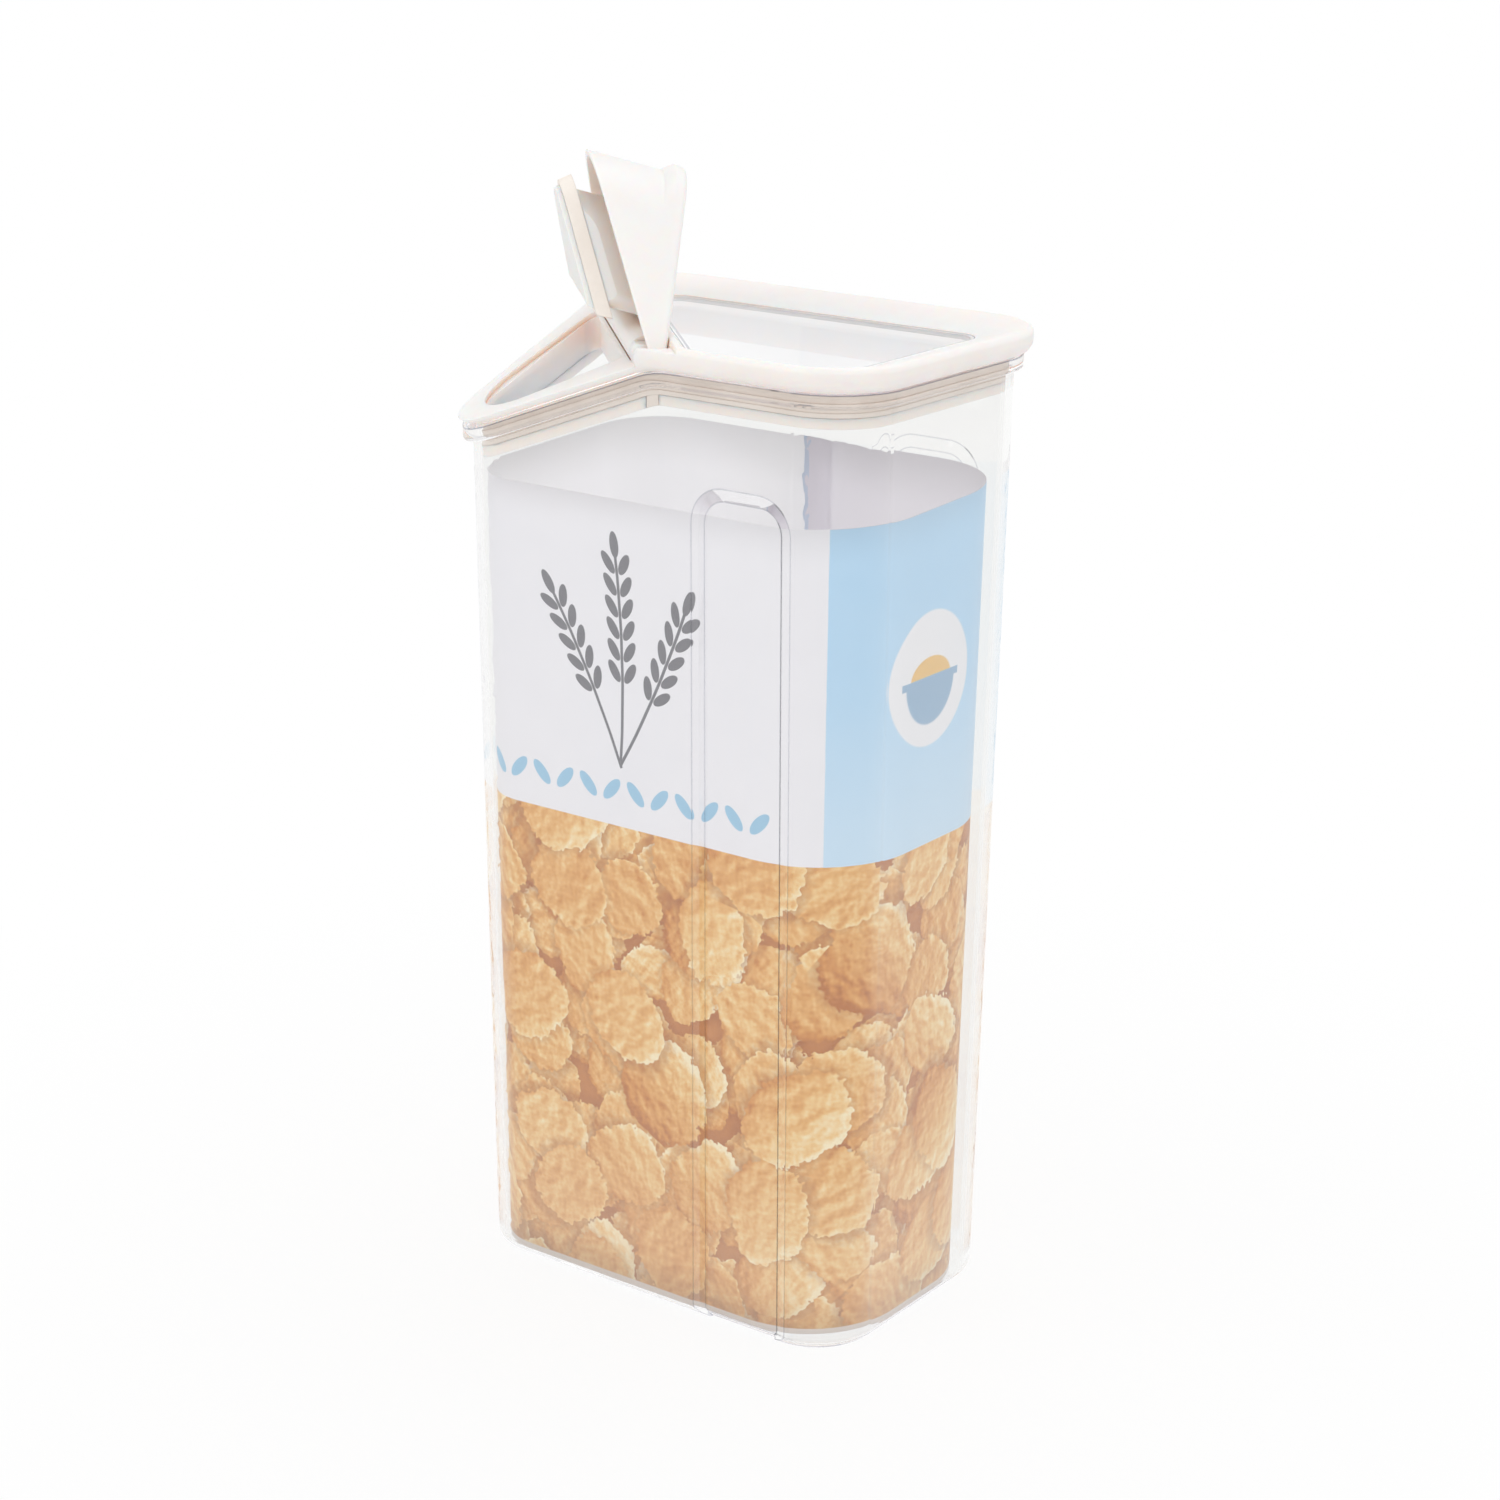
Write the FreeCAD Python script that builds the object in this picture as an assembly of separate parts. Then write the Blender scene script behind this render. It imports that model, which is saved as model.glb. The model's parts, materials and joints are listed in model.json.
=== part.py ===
import FreeCAD, Part
import math
import os

from FreeCAD import Placement, Rotation, Vector

# Tall clear food keeper with a white lid whose sloping corner pours through a hinged cap.
# Frame: origin at the middle of the base, +Z up, +X along the long side.  The pour corner of
# the lid points to -X and -Y.  All lengths are millimetres and all angles are degrees.

# Overall size of the closed container
lid_length = 155.0
lid_width = 105.0
closed_height = 295.0

# Lid outline and the sloping corner
lid_corner_radius = 25.0
flange_height = 7.5
flange_under_radius = 4.0
flange_top_radius = 1.8
corner_leg = 87.0
slope_angle = 28.5
bend_radius = 17.0
slope_rim_thickness = 2.8

# Window in the flat part of the lid
window_margin = 16.6
window_hinge_gap = 10.5
window_corner_radius = 8.0
window_edge_drop = 3.7
crest_inset = 2.0
dish_hinge_width = 3.0
window_lip = 3.0
window_thickness = 1.4
window_step = 2.7
window_clearance = 0.15
window_cover = 1.5
shelf_height = 2.0
shelf_lip = 1.2

# Pour opening in the sloping corner
mouth_half_width = 43.2
mouth_taper = 0.888
mouth_apex_radius = 14.9
mouth_corner_radius = 3.0
mouth_hinge_end = 4.5
mouth_wall = 1.6
rebate_half_width = 42.5
rebate_taper = 0.704
rebate_apex_radius = 25.0
rebate_depth = 1.4

# Jar
jar_overhang = 5.05
jar_wall = 2.2
jar_floor = 2.0
jar_draft = 0.638
jar_corner_radius = 20.0
jar_base_radius = 4.0
jar_floor_radius = 0.8
rim_gap = 0.2
bead_reach = 2.55
bead_height = 4.2
bead_radius = 1.2

# Grip recess in both long faces of the jar
grip_centre = 35.3
grip_half_width = 17.0
grip_floor_half_width = 13.2
grip_top = 256.8
grip_corner_radius = 11.0
grip_depth = 1.2
grip_overcut = 1.5

# Printed card standing inside the jar
card_thickness = 0.4
card_left_radius = 20.0
card_right_radius = 30.0
card_headroom = 0.2
card_rise = 4.2
card_gap = 0.5
card_lift = 0.3
card_seam = 2.7
card_overlap = 12.0

# Skirt, gasket and inner ring under the lid
skirt_inset = 8.9
skirt_wall = 2.0
skirt_depth = 7.3
gasket_clearance = 0.3
gasket_ridge = 0.45
gasket_ridge_height = 1.3
gasket_ridges = 3
gasket_fit = 0.05
gasket_top_gap = 0.5
ring_clearance = 0.5
ring_height = 3.0
ring_wall = 1.55
ring_fit = 0.15
tab_width = 3.0
tab_shift = 1.5
tab_fit = 0.1

# Hinge and cap
hinge_setback = 0.4
open_angle = 105.7
barrel_clearance = 0.35
cradle_wall = 1.5
ear_start = 45.75
ear_gap = 0.25
ear_drop = 1.4
stop_gap = 0.17
pin_radius = 1.6
pin_length = 4.5
pin_clearance = 0.05
cap_inset = 2.5
cap_tip_radius = 30.0
cap_lip_radius = 24.0
cap_lip_height = 3.5
cap_lip_flare = 3.0
cap_top = 2.0
cap_wall = 1.8
cap_edge_radius = 1.6
cap_seat_gap = 0.15
cap_crest_gap = 0.3
cap_slot_gap = 0.3

# Plug under the cap
stem_offset = 1.7
stem_apex_radius = 24.2
stem_wall = 1.8
stem_depth = 6.0
seal_height = 4.0
base_height = 1.6
seal_clearance = 0.35
stem_clearance = 0.6
base_clearance = 1.6
plug_hinge_gap = 0.5
plug_swing = 50.0
core_offset = 7.0
core_apex_radius = 16.9
core_corner_radius = 2.0
core_wall = 1.8
core_fit = 0.05

# Worked out from the driving dimensions
reach = 2.0 * (lid_length + lid_width)
slope = math.radians(slope_angle)
draft_rate = math.tan(math.radians(jar_draft))
flange_z = closed_height - flange_height
corner_depth = corner_leg / math.sqrt(2.0)
corner_origin = Vector(
    (corner_leg - lid_length) / 2.0,
    (corner_leg - lid_width) / 2.0,
    0.0,
)
corner_place = Placement(corner_origin, Rotation(Vector(0, 0, 1), 45.0))
seat_z = flange_z + slope_rim_thickness / math.cos(slope)
hinge_z = seat_z - hinge_setback * math.tan(slope)
hinge_point = Vector(-hinge_setback, 0.0, hinge_z)
hinge_direction = Vector(0, 1, 0)
barrel_radius = closed_height - hinge_z
cradle_radius = barrel_radius + barrel_clearance
cradle_outer = cradle_radius + cradle_wall
window_z = closed_height - window_edge_drop
window_lip_top = window_z - window_cover
shelf_z = window_lip_top - window_thickness
open_turn = math.radians(open_angle)
barrel_half = ear_start - ear_gap
ear_top_z = closed_height - ear_drop
slope_down = Vector(-math.cos(slope), 0, -math.sin(slope))
slope_up = Vector(-math.sin(slope), 0, math.cos(slope))
lid_tip = corner_depth - lid_corner_radius * (math.sqrt(2.0) - 1.0)
underside_side = window_margin - skirt_inset - skirt_wall
underside_hinge = window_hinge_gap - cradle_outer + hinge_setback - cradle_wall


def line(start, end):
    return Part.LineSegment(start, end).toShape()


def arc(start, middle, end):
    return Part.Arc(start, middle, end).toShape()


def rounded_outline(points, radii, z):
    """Closed wire through plan points, each corner rounded by its own radius."""
    count = len(points)
    corners = []
    for index in range(count):
        corner = Vector(points[index][0], points[index][1], z)
        before = Vector(points[index - 1][0], points[index - 1][1], z)
        after = Vector(points[(index + 1) % count][0], points[(index + 1) % count][1], z)
        to_before = (before - corner).normalize()
        to_after = (after - corner).normalize()
        half = to_before.getAngle(to_after) / 2.0
        radius = radii[index]
        run = radius / math.tan(half)
        inward = (to_before + to_after).normalize()
        middle = corner + inward * (radius / math.sin(half) - radius)
        corners.append((corner + to_before * run, middle, corner + to_after * run, radius))
    edges = []
    for index in range(count):
        start, middle, end, radius = corners[index]
        if radius > 0.0:
            edges.append(arc(start, middle, end))
        edges.append(line(end, corners[(index + 1) % count][0]))
    return Part.Wire(edges)


def prism(wire, height):
    return Part.Face(wire).extrude(Vector(0, 0, height))


def rounded_rectangle(length, width, radius, z):
    x = length / 2.0
    y = width / 2.0
    points = [(-x, -y), (x, -y), (x, y), (-x, y)]
    return rounded_outline(points, [radius] * 4, z)


def lid_prism(inset, low, high):
    """Upright prism of the lid outline drawn in by an inset."""
    outline = rounded_rectangle(
        lid_length - 2.0 * inset,
        lid_width - 2.0 * inset,
        lid_corner_radius - inset,
        low,
    )
    return prism(outline, high - low)


def jar_section(offset, z):
    """Outline of the drafted jar at one height, drawn in from the outer wall by an offset."""
    inset = jar_overhang + offset + (flange_z - z) * draft_rate
    return rounded_rectangle(
        lid_length - 2.0 * inset,
        lid_width - 2.0 * inset,
        jar_corner_radius - offset,
        z,
    )


def jar_block(offset, low, high):
    sections = [jar_section(offset, low), jar_section(offset, high)]
    return Part.makeLoft(sections, True, True)


def at_corner(shape):
    """Move a shape from the pour corner's own frame (u, w, z) into the part's frame."""
    placed = shape.copy()
    placed.Placement = corner_place.multiply(placed.Placement)
    return placed


def across(edges, half_width):
    """Extrude a closed profile in the u-z plane evenly to both sides of the corner's plane."""
    face = Part.Face(Part.Wire(Part.sortEdges(edges)[0]))
    face.translate(Vector(0, -half_width, 0))
    return face.extrude(Vector(0, 2.0 * half_width, 0))


def polygon_across(points, half_width):
    corners = [Vector(u, 0, z) for u, z in points]
    edges = [line(corners[i - 1], corners[i]) for i in range(len(corners))]
    return across(edges, half_width)


def rod(radius, half_width):
    """Round bar about the hinge axis, in the corner's frame."""
    start = hinge_point - hinge_direction * half_width
    return Part.makeCylinder(radius, 2.0 * half_width, start, hinge_direction)


def bent_points(offset):
    """Points of the line that runs level and then down the corner, at a height above it."""
    centre = Vector(bend_radius * math.tan(slope / 2.0), 0, flange_z - bend_radius)
    radius = bend_radius + offset

    def on_arc(angle):
        return centre + Vector(-math.sin(angle), 0, math.cos(angle)) * radius

    foot = on_arc(slope)
    low_end = foot - Vector(math.cos(slope), 0, math.sin(slope)) * reach
    level_end = centre + Vector(reach, 0, radius)
    return low_end, foot, on_arc(slope / 2.0), on_arc(0.0), level_end


def slope_height(offset, run):
    """Height of the sloping part of the lid line, at a height above it and a run from the bend."""
    over_bend = (bend_radius + offset) / math.cos(slope) - bend_radius
    return flange_z + over_bend - (run + bend_radius * math.tan(slope / 2.0)) * math.tan(slope)


def bent_edges(offset):
    low_end, foot, middle, top, level_end = bent_points(offset)
    return [line(low_end, foot), arc(foot, middle, top), line(top, level_end)]


def bent_slab(low, high):
    """Everything between two heights measured square to the level and sloping lid line."""
    lower = bent_points(low)
    upper = bent_points(high)
    edges = bent_edges(high) + [line(upper[-1], lower[-1])]
    edges += bent_edges(low) + [line(lower[0], upper[0])]
    return at_corner(across(edges, reach))


def below_bend(offset):
    points = bent_points(offset)
    floor_left = Vector(points[0].x, 0, -reach)
    floor_right = Vector(points[-1].x, 0, -reach)
    edges = bent_edges(offset)
    edges += [line(points[-1], floor_right), line(floor_right, floor_left), line(floor_left, points[0])]
    return at_corner(across(edges, reach))


def height_over_bend(point):
    """Distance of a point above the level and sloping line of the flange's underside."""
    local = corner_place.inverse().multVec(point)
    centre_u = bend_radius * math.tan(slope / 2.0)
    across_bend = local.x - centre_u
    over_centre = local.z - (flange_z - bend_radius)
    if across_bend >= 0.0:
        return over_centre - bend_radius
    if math.atan2(-across_bend, over_centre) <= slope:
        return math.hypot(across_bend, over_centre) - bend_radius
    return -across_bend * math.sin(slope) + over_centre * math.cos(slope) - bend_radius


def middle_of(edge):
    return edge.valueAt((edge.FirstParameter + edge.LastParameter) / 2.0)


def edges_at_bend_height(shape, offset):
    """Outline edges at one height over the bent line, leaving out the fold lines across it."""
    found = []
    for edge in shape.Edges:
        points = [vertex.Point for vertex in edge.Vertexes] + [middle_of(edge)]
        along = [corner_place.inverse().multVec(point).x for point in points]
        level = all(abs(height_over_bend(point) - offset) < 1e-3 for point in points)
        if level and max(along) - min(along) > 1e-3:
            found.append(edge)
    return found


def edges_at_level(shape, z):
    flat = [edge for edge in shape.Edges if edge.BoundBox.ZLength < 1e-6]
    return [edge for edge in flat if abs(middle_of(edge).z - z) < 1e-6]


def window_outline(grow, hinge_grow, z):
    """Window edge grown outwards, with its own growth on the side next to the hinge."""
    x = lid_length / 2.0 - window_margin + grow
    y = lid_width / 2.0 - window_margin + grow
    hinge_sum = corner_origin.x + corner_origin.y + math.sqrt(2.0) * (window_hinge_gap - hinge_grow)
    points = [(hinge_sum + y, -y), (x, -y), (x, y), (hinge_sum - y, y)]
    side_radius = window_corner_radius + grow
    hinge_radius = window_corner_radius + hinge_grow
    return rounded_outline(points, [hinge_radius, side_radius, side_radius, hinge_radius], z)


def window_limit(low_grow, low, high_grow, high):
    """Everything inside the window's margin on the side of the lid that the hinge line runs out to."""
    side = window_margin - lid_length / 2.0
    corners = ((side - low_grow, low), (side - high_grow, high), (reach, high), (reach, low))
    points = [Vector(x, -reach, z) for x, z in corners]
    return Part.Face(Part.makePolygon(points + points[:1])).extrude(Vector(0, 2.0 * reach, 0))


def window_prism(grow, hinge_grow, low, high):
    block = prism(window_outline(grow, hinge_grow, low), high - low)
    return block.common(window_limit(grow, low, grow, high))


def taper_prism(edge, taper, hinge_end, apex_radius, corner_radius):
    """Upright prism narrowing from the hinge to a rounded apex, in the corner's frame."""
    low = flange_z - reach
    half_width = edge - taper * hinge_end
    points = [(-hinge_end, half_width), (-edge / taper, 0.0), (-hinge_end, -half_width)]
    outline = rounded_outline(points, [corner_radius, apex_radius, corner_radius], low)
    return prism(outline, 2.0 * reach)


def mouth_prism(offset, apex_radius, corner_radius, hinge_end):
    """Upright prism like the pour opening, drawn in by an offset, in the corner's frame."""
    edge = mouth_half_width - offset * math.hypot(1.0, mouth_taper)
    return taper_prism(edge, mouth_taper, hinge_end, apex_radius, corner_radius)


def depth_slab(top, bottom):
    """Layer between two depths under the plane on which the closed cap sits."""
    corners = []
    for run, depth in ((-reach, top), (reach, top), (reach, bottom), (-reach, bottom)):
        point = hinge_point + slope_down * run - slope_up * depth
        corners.append((point.x, point.z))
    return polygon_across(corners, reach)


def over_level(z):
    return Part.makeBox(2.0 * reach, 2.0 * reach, 2.0 * reach, Vector(-reach, -reach, z))


def inside_lid(shape, inset):
    """Keep what lies inside the lid outline drawn in by an inset, in the corner's frame."""
    limit = lid_prism(inset, flange_z - reach, flange_z + reach)
    limit.Placement = corner_place.inverse().multiply(limit.Placement)
    return shape.common(limit)


def throat(offset):
    """Upright prism of the pour opening, drawn in by an offset, in the corner's frame."""
    return mouth_prism(offset, mouth_apex_radius - offset, mouth_corner_radius, mouth_hinge_end + offset)


def plug(clearance):
    """Space that the cap can fill under its seat and still swing out of the pour opening."""
    corners = []
    for run, side in ((0.0, -reach), (reach, -reach), (reach, reach), (0.0, reach)):
        corners.append(hinge_point + slope_down * run + hinge_direction * side)
    seat = Part.Face(Part.makePolygon(corners + corners[:1]))
    hinge_space = rod(cradle_outer + plug_hinge_gap, reach)
    outline = throat(clearance).common(seat).cut(hinge_space)
    swept = outline.Faces[0].revolve(hinge_point, hinge_direction, -plug_swing)
    return swept.common(throat(clearance))


def grip_outline(half_width, depth):
    """Upright outline of the grip recess with a rounded top, at a depth behind the jar's face."""
    grown = half_width - grip_half_width
    radius = grip_corner_radius + grown
    bend = radius * (1.0 - math.sqrt(0.5))
    left = grip_centre - half_width
    right = grip_centre + half_width
    top = grip_top + grown
    floor_z = -2.0 * jar_base_radius
    outline = (
        (left, floor_z),
        (left, top - radius),
        (left + bend, top - bend),
        (left + radius, top),
        (right - radius, top),
        (right - bend, top - bend),
        (right, top - radius),
        (right, floor_z),
    )
    spots = [Vector(x, depth, z) for x, z in outline]
    return Part.Wire([
        line(spots[0], spots[1]),
        arc(spots[1], spots[2], spots[3]),
        line(spots[3], spots[4]),
        arc(spots[4], spots[5], spots[6]),
        line(spots[6], spots[7]),
        line(spots[7], spots[0]),
    ])


def grip_recess():
    """Cutter for the recess in the near long face: sloping sides down to a floor along the wall."""
    side_run = (grip_half_width - grip_floor_half_width) / grip_depth
    back = grip_overcut
    inner_half = grip_half_width - side_run * back
    outer_half = grip_half_width + side_run * grip_depth
    outlines = [grip_outline(outer_half, -grip_depth), grip_outline(inner_half, back)]
    sides = Part.makeLoft(outlines, True, True)
    deep = Part.Face(grip_outline(inner_half, back)).extrude(Vector(0, jar_base_radius + grip_depth, 0))
    cutter = sides.fuse(deep)
    face_y = lid_width / 2.0 - jar_overhang - flange_z * draft_rate
    cutter.Placement = Placement(Vector(0, -face_y, 0), Rotation(Vector(1, 0, 0), jar_draft))
    return cutter.cut(jar_form(grip_depth, 0.0, jar_base_radius))


def jar_form(offset, floor_z, edge_radius):
    """Closed drafted block with a rounded lower edge."""
    block = jar_block(offset, floor_z, closed_height)
    return block.makeFillet(edge_radius, edges_at_level(block, floor_z))


def make_jar_body():
    bead = lid_prism(jar_overhang - bead_reach, 0.0, closed_height)
    bead = bead.common(bent_slab(-rim_gap - bead_height, -rim_gap))
    bead = bead.makeFillet(bead_radius, edges_at_bend_height(bead, -rim_gap - bead_height))
    near_grip = grip_recess()
    far_grip = near_grip.mirror(Vector(0, 0, 0), Vector(0, 1, 0))
    wall = jar_form(0.0, 0.0, jar_base_radius).common(below_bend(-rim_gap))
    shell = wall.fuse(bead).cut([near_grip, far_grip])
    return shell.cut(jar_form(jar_wall, jar_floor, jar_floor_radius))


def card_block(offset, low, high):
    """Block that leans on the jar's drafted walls with the card's gap, drawn in by an offset."""
    left = card_left_radius - offset
    right = card_right_radius - offset
    outlines = []
    for z in (low, high):
        inset = jar_overhang + jar_wall + card_gap + offset + (flange_z - z) * draft_rate
        x = lid_length / 2.0 - inset
        y = lid_width / 2.0 - inset
        points = [(-x, -y), (x, -y), (x, y), (-x, y)]
        outlines.append(rounded_outline(points, [left, right, right, left], z))
    return Part.makeLoft(outlines, True, True)


def make_display_card():
    low = jar_floor + card_lift
    lid_low = slope_height(-skirt_depth - ring_fit - ring_height, lid_tip)
    near_top = lid_low - card_headroom
    high = near_top + card_rise
    loop = card_block(0.0, low, high).cut(card_block(card_thickness, low, high))
    layer = card_block(card_thickness / 2.0, low, high)
    layer = layer.cut(card_block(2.0 * card_thickness, low, high))
    lap = Part.makeBox(card_overlap, lid_width, high, Vector(card_seam - card_overlap, 0.0, 0.0))
    rise_rate = card_rise / lid_width
    trim_points = [
        Vector(-lid_length, -lid_width / 2.0, near_top),
        Vector(-lid_length, lid_width, near_top + 1.5 * lid_width * rise_rate),
        Vector(-lid_length, lid_width, closed_height),
        Vector(-lid_length, -lid_width / 2.0, closed_height),
    ]
    trim = Part.Face(Part.makePolygon(trim_points + trim_points[:1])).extrude(Vector(2.0 * lid_length, 0, 0))
    return loop.fuse(layer.common(lap)).cut(trim)


def cap_bay():
    """Space over the sloping rim that the closed cap fills, rounded over the hinge ears."""
    crown = hinge_point + Vector(0, 0, barrel_radius)
    foot = hinge_point + slope_down * barrel_radius
    middle_angle = math.radians(90.0 + (90.0 + slope_angle) / 2.0)
    middle = hinge_point + Vector(math.cos(middle_angle), 0, math.sin(middle_angle)) * barrel_radius
    far = hinge_point + slope_down * reach
    above = crown + Vector(0, 0, reach)
    far_above = Vector(far.x, 0, above.z)
    edges = [arc(crown, middle, foot), line(foot, far), line(far, far_above)]
    edges += [line(far_above, above), line(above, crown)]
    return across(edges, reach)


def stop_line(height):
    """Point on the leaning face that stops the open cap, at a height."""
    away = Vector(math.sin(open_turn), 0, math.cos(open_turn))
    along = Vector(-math.cos(open_turn), 0, math.sin(open_turn))
    foot = hinge_point + away * (barrel_radius + stop_gap)
    return foot + along * ((height - foot.z) / along.z)


def barrel_space():
    """Trough for the cap's barrel between the ears, with the face that stops the open cap."""
    foot = stop_line(hinge_z - barrel_radius * math.sin(open_turn - math.pi / 2.0))
    top = stop_line(closed_height + barrel_radius)
    corners = [hinge_point, foot, top, Vector(hinge_point.x, 0, top.z)]
    leaning = polygon_across([(corner.x, corner.z) for corner in corners], ear_start)
    return rod(cradle_radius, ear_start).fuse(leaning)


def ear_space():
    """Space over the ears, cut down so that the ends of the open cap reach below the crest."""
    low = stop_line(ear_top_z)
    high = stop_line(closed_height + barrel_radius)
    corners = [(low.x, low.z), (high.x, high.z), (-reach, high.z), (-reach, low.z)]
    return polygon_across(corners, reach)


def cap_wall_band():
    """Band under the cap's side walls, in the corner's frame."""
    outer = lid_prism(cap_inset, flange_z - reach, flange_z + reach)
    inner = lid_prism(cap_inset + cap_wall, flange_z - reach, flange_z + reach)
    band = outer.cut(inner)
    band.Placement = corner_place.inverse().multiply(band.Placement)
    return band


def wall_slots():
    """Slots in the ears where the ends of the cap's slanting side walls swing past the hinge."""
    wall_end = corner_depth - hinge_setback - math.sqrt(2.0) * cap_inset
    core_end = wall_end - math.sqrt(2.0) * (cap_wall + cap_slot_gap)
    far = hinge_point + slope_down * reach
    floor = stop_line(hinge_z)
    top = stop_line(closed_height + barrel_radius)
    corners = [hinge_point, floor, top, Vector(far.x, 0, top.z), far]
    points = [(corner.x, corner.z) for corner in corners]
    slots = polygon_across(points, wall_end + cap_slot_gap)
    slots = slots.cut(polygon_across(points, core_end - cradle_outer))
    for side in (-1.0, 1.0):
        direction = hinge_direction * side
        start = hinge_point + direction * (core_end - cradle_outer)
        slots = slots.cut(Part.makeCone(cradle_outer, 0.0, cradle_outer, start, direction))
    return inside_lid(slots, cap_inset - 2.0 * cap_slot_gap)


def make_lid_frame():
    block = lid_prism(0.0, 0.0, closed_height)
    block = block.makeFillet(flange_top_radius, edges_at_level(block, closed_height))
    flange = block.cut(below_bend(0.0))
    flange = flange.makeFillet(flange_under_radius, edges_at_bend_height(flange, 0.0))
    dish_width = 2.0 * (window_margin - crest_inset)
    dish_z = window_z + 2.0 * window_edge_drop
    dish_outlines = [
        window_outline(0.0, 0.0, window_z),
        window_outline(dish_width, 2.0 * dish_hinge_width, dish_z),
    ]
    dish = Part.makeLoft(dish_outlines, True, True)
    dish = dish.common(window_limit(0.0, window_z, dish_width, dish_z))
    opening = window_prism(0.0, 0.0, 0.0, closed_height)
    underside = window_prism(underside_side, underside_hinge, 0.0, window_lip_top)
    flange = flange.cut([dish, opening, underside])
    skirt = lid_prism(skirt_inset, 0.0, closed_height)
    skirt = skirt.cut(lid_prism(skirt_inset + skirt_wall, 0.0, closed_height))
    collar = mouth_prism(
        -mouth_wall,
        mouth_apex_radius + mouth_wall,
        mouth_corner_radius,
        mouth_hinge_end - mouth_wall,
    )
    collar = at_corner(collar).common(lid_prism(skirt_inset, 0.0, closed_height))
    overlap = slope_rim_thickness / 2.0
    under = skirt.fuse(collar).common(bent_slab(-skirt_depth, overlap))
    cradle = inside_lid(rod(cradle_outer, ear_start), skirt_inset)
    pour = throat(0.0).cut(cradle)
    rebate = taper_prism(
        rebate_half_width,
        rebate_taper,
        mouth_hinge_end,
        rebate_apex_radius,
        mouth_corner_radius,
    )
    rebate = at_corner(rebate.cut(cradle)).cut(below_bend(slope_rim_thickness - rebate_depth))
    bores = rod(pin_radius + pin_clearance, ear_start + pin_length + ear_gap)
    frame = flange.fuse([under, at_corner(cradle)])
    hinge_cutters = (cap_bay(), ear_space(), barrel_space(), wall_slots(), bores)
    frame = frame.cut([at_corner(pour), rebate])
    return frame.cut([at_corner(cutter) for cutter in hinge_cutters])


def level_side():
    """Everything on the level side of the hinge, where the window and its shelf lie."""
    start = window_hinge_gap - underside_hinge + ring_fit
    return at_corner(polygon_across([(start, 0), (reach, 0), (reach, reach), (start, reach)], reach))


def tab_space(width, inset):
    """Upright slices across the bend, outside an inset, where the gasket's tabs hang down."""
    low = tab_shift - width / 2.0
    high = tab_shift + width / 2.0
    slices = polygon_across([(low, 0), (high, 0), (high, reach), (low, reach)], reach)
    return at_corner(slices).cut(lid_prism(inset, -reach, reach))


def make_lid_inner_ring():
    ring_inset = skirt_inset + skirt_wall + ring_fit
    top = -skirt_depth - ring_fit
    band = jar_block(jar_wall + ring_clearance, 0.0, closed_height)
    band = band.common(bent_slab(top - ring_height, top))
    band = band.cut(tab_space(tab_width + 2.0 * tab_fit, skirt_inset))
    wall = lid_prism(ring_inset, flange_z + top - ring_height, flange_z - ring_fit).common(level_side())
    shelf_low = shelf_z - shelf_height
    shelf = window_prism(underside_side - ring_fit, underside_hinge - ring_fit, shelf_low, shelf_z)
    inside = lid_prism(ring_inset + ring_wall, 0.0, closed_height)
    shelf = shelf.cut(window_prism(shelf_lip, shelf_lip, 0.0, closed_height))
    ring = band.fuse(wall).cut(inside).fuse(shelf)
    return ring.cut(at_corner(throat(-ring_fit)))


def make_lid_gasket():
    low = -skirt_depth
    high = -gasket_top_gap
    outer = jar_block(jar_wall + gasket_clearance, 0.0, closed_height)
    valley = jar_block(jar_wall + gasket_clearance + gasket_ridge, 0.0, closed_height)
    strip = valley.common(bent_slab(low, high))
    pitch = (high - low - gasket_ridge_height) / (gasket_ridges - 1)
    for index in range(gasket_ridges):
        ridge_low = low + index * pitch
        strip = strip.fuse(outer.common(bent_slab(ridge_low, ridge_low + gasket_ridge_height)))
    tab = jar_block(jar_wall + ring_clearance, 0.0, closed_height)
    tab = tab.common(tab_space(tab_width, skirt_inset - gasket_fit))
    tab = tab.common(bent_slab(low - ring_fit - ring_height, low + gasket_ridge_height))
    return strip.fuse(tab).cut(lid_prism(skirt_inset - gasket_fit, 0.0, closed_height))


def make_lid_window():
    lip_top = window_lip_top - window_clearance
    lip = window_prism(window_lip, underside_hinge - window_clearance, shelf_z, lip_top)
    pane_top = shelf_z + window_step
    pane = window_prism(-window_clearance, -window_clearance, shelf_z, pane_top)
    step = -window_clearance - window_thickness
    hollow = window_prism(step, step, shelf_z, pane_top - window_thickness)
    return lip.fuse(pane).cut(hollow)


def cap_outline(tip_radius, inset, end, z):
    """Cap in plan: two sides along the lid's sides and a rounded tip, in the corner's frame."""
    edge = corner_depth - inset * math.sqrt(2.0)
    points = [(-end, edge - end), (-edge, 0.0), (-end, end - edge)]
    return rounded_outline(points, [0.0, tip_radius, 0.0], z)


def under_open_cap(z):
    """Everything below a height under the open cap, turned to the closed place."""
    block = Part.makeBox(2.0 * reach, 2.0 * reach, reach, Vector(-reach, -reach, z - reach))
    block.rotate(hinge_point, hinge_direction, -open_angle)
    return block


def hinge_end_space():
    """Space that the ears take up at the cap's hinge end; the side walls run on into their slots."""
    ears = under_open_cap(ear_top_z + cap_crest_gap).fuse(rod(barrel_radius + cap_crest_gap, reach))
    return ears.cut(cap_wall_band()).fuse(under_open_cap(hinge_z + cap_slot_gap))


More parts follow.
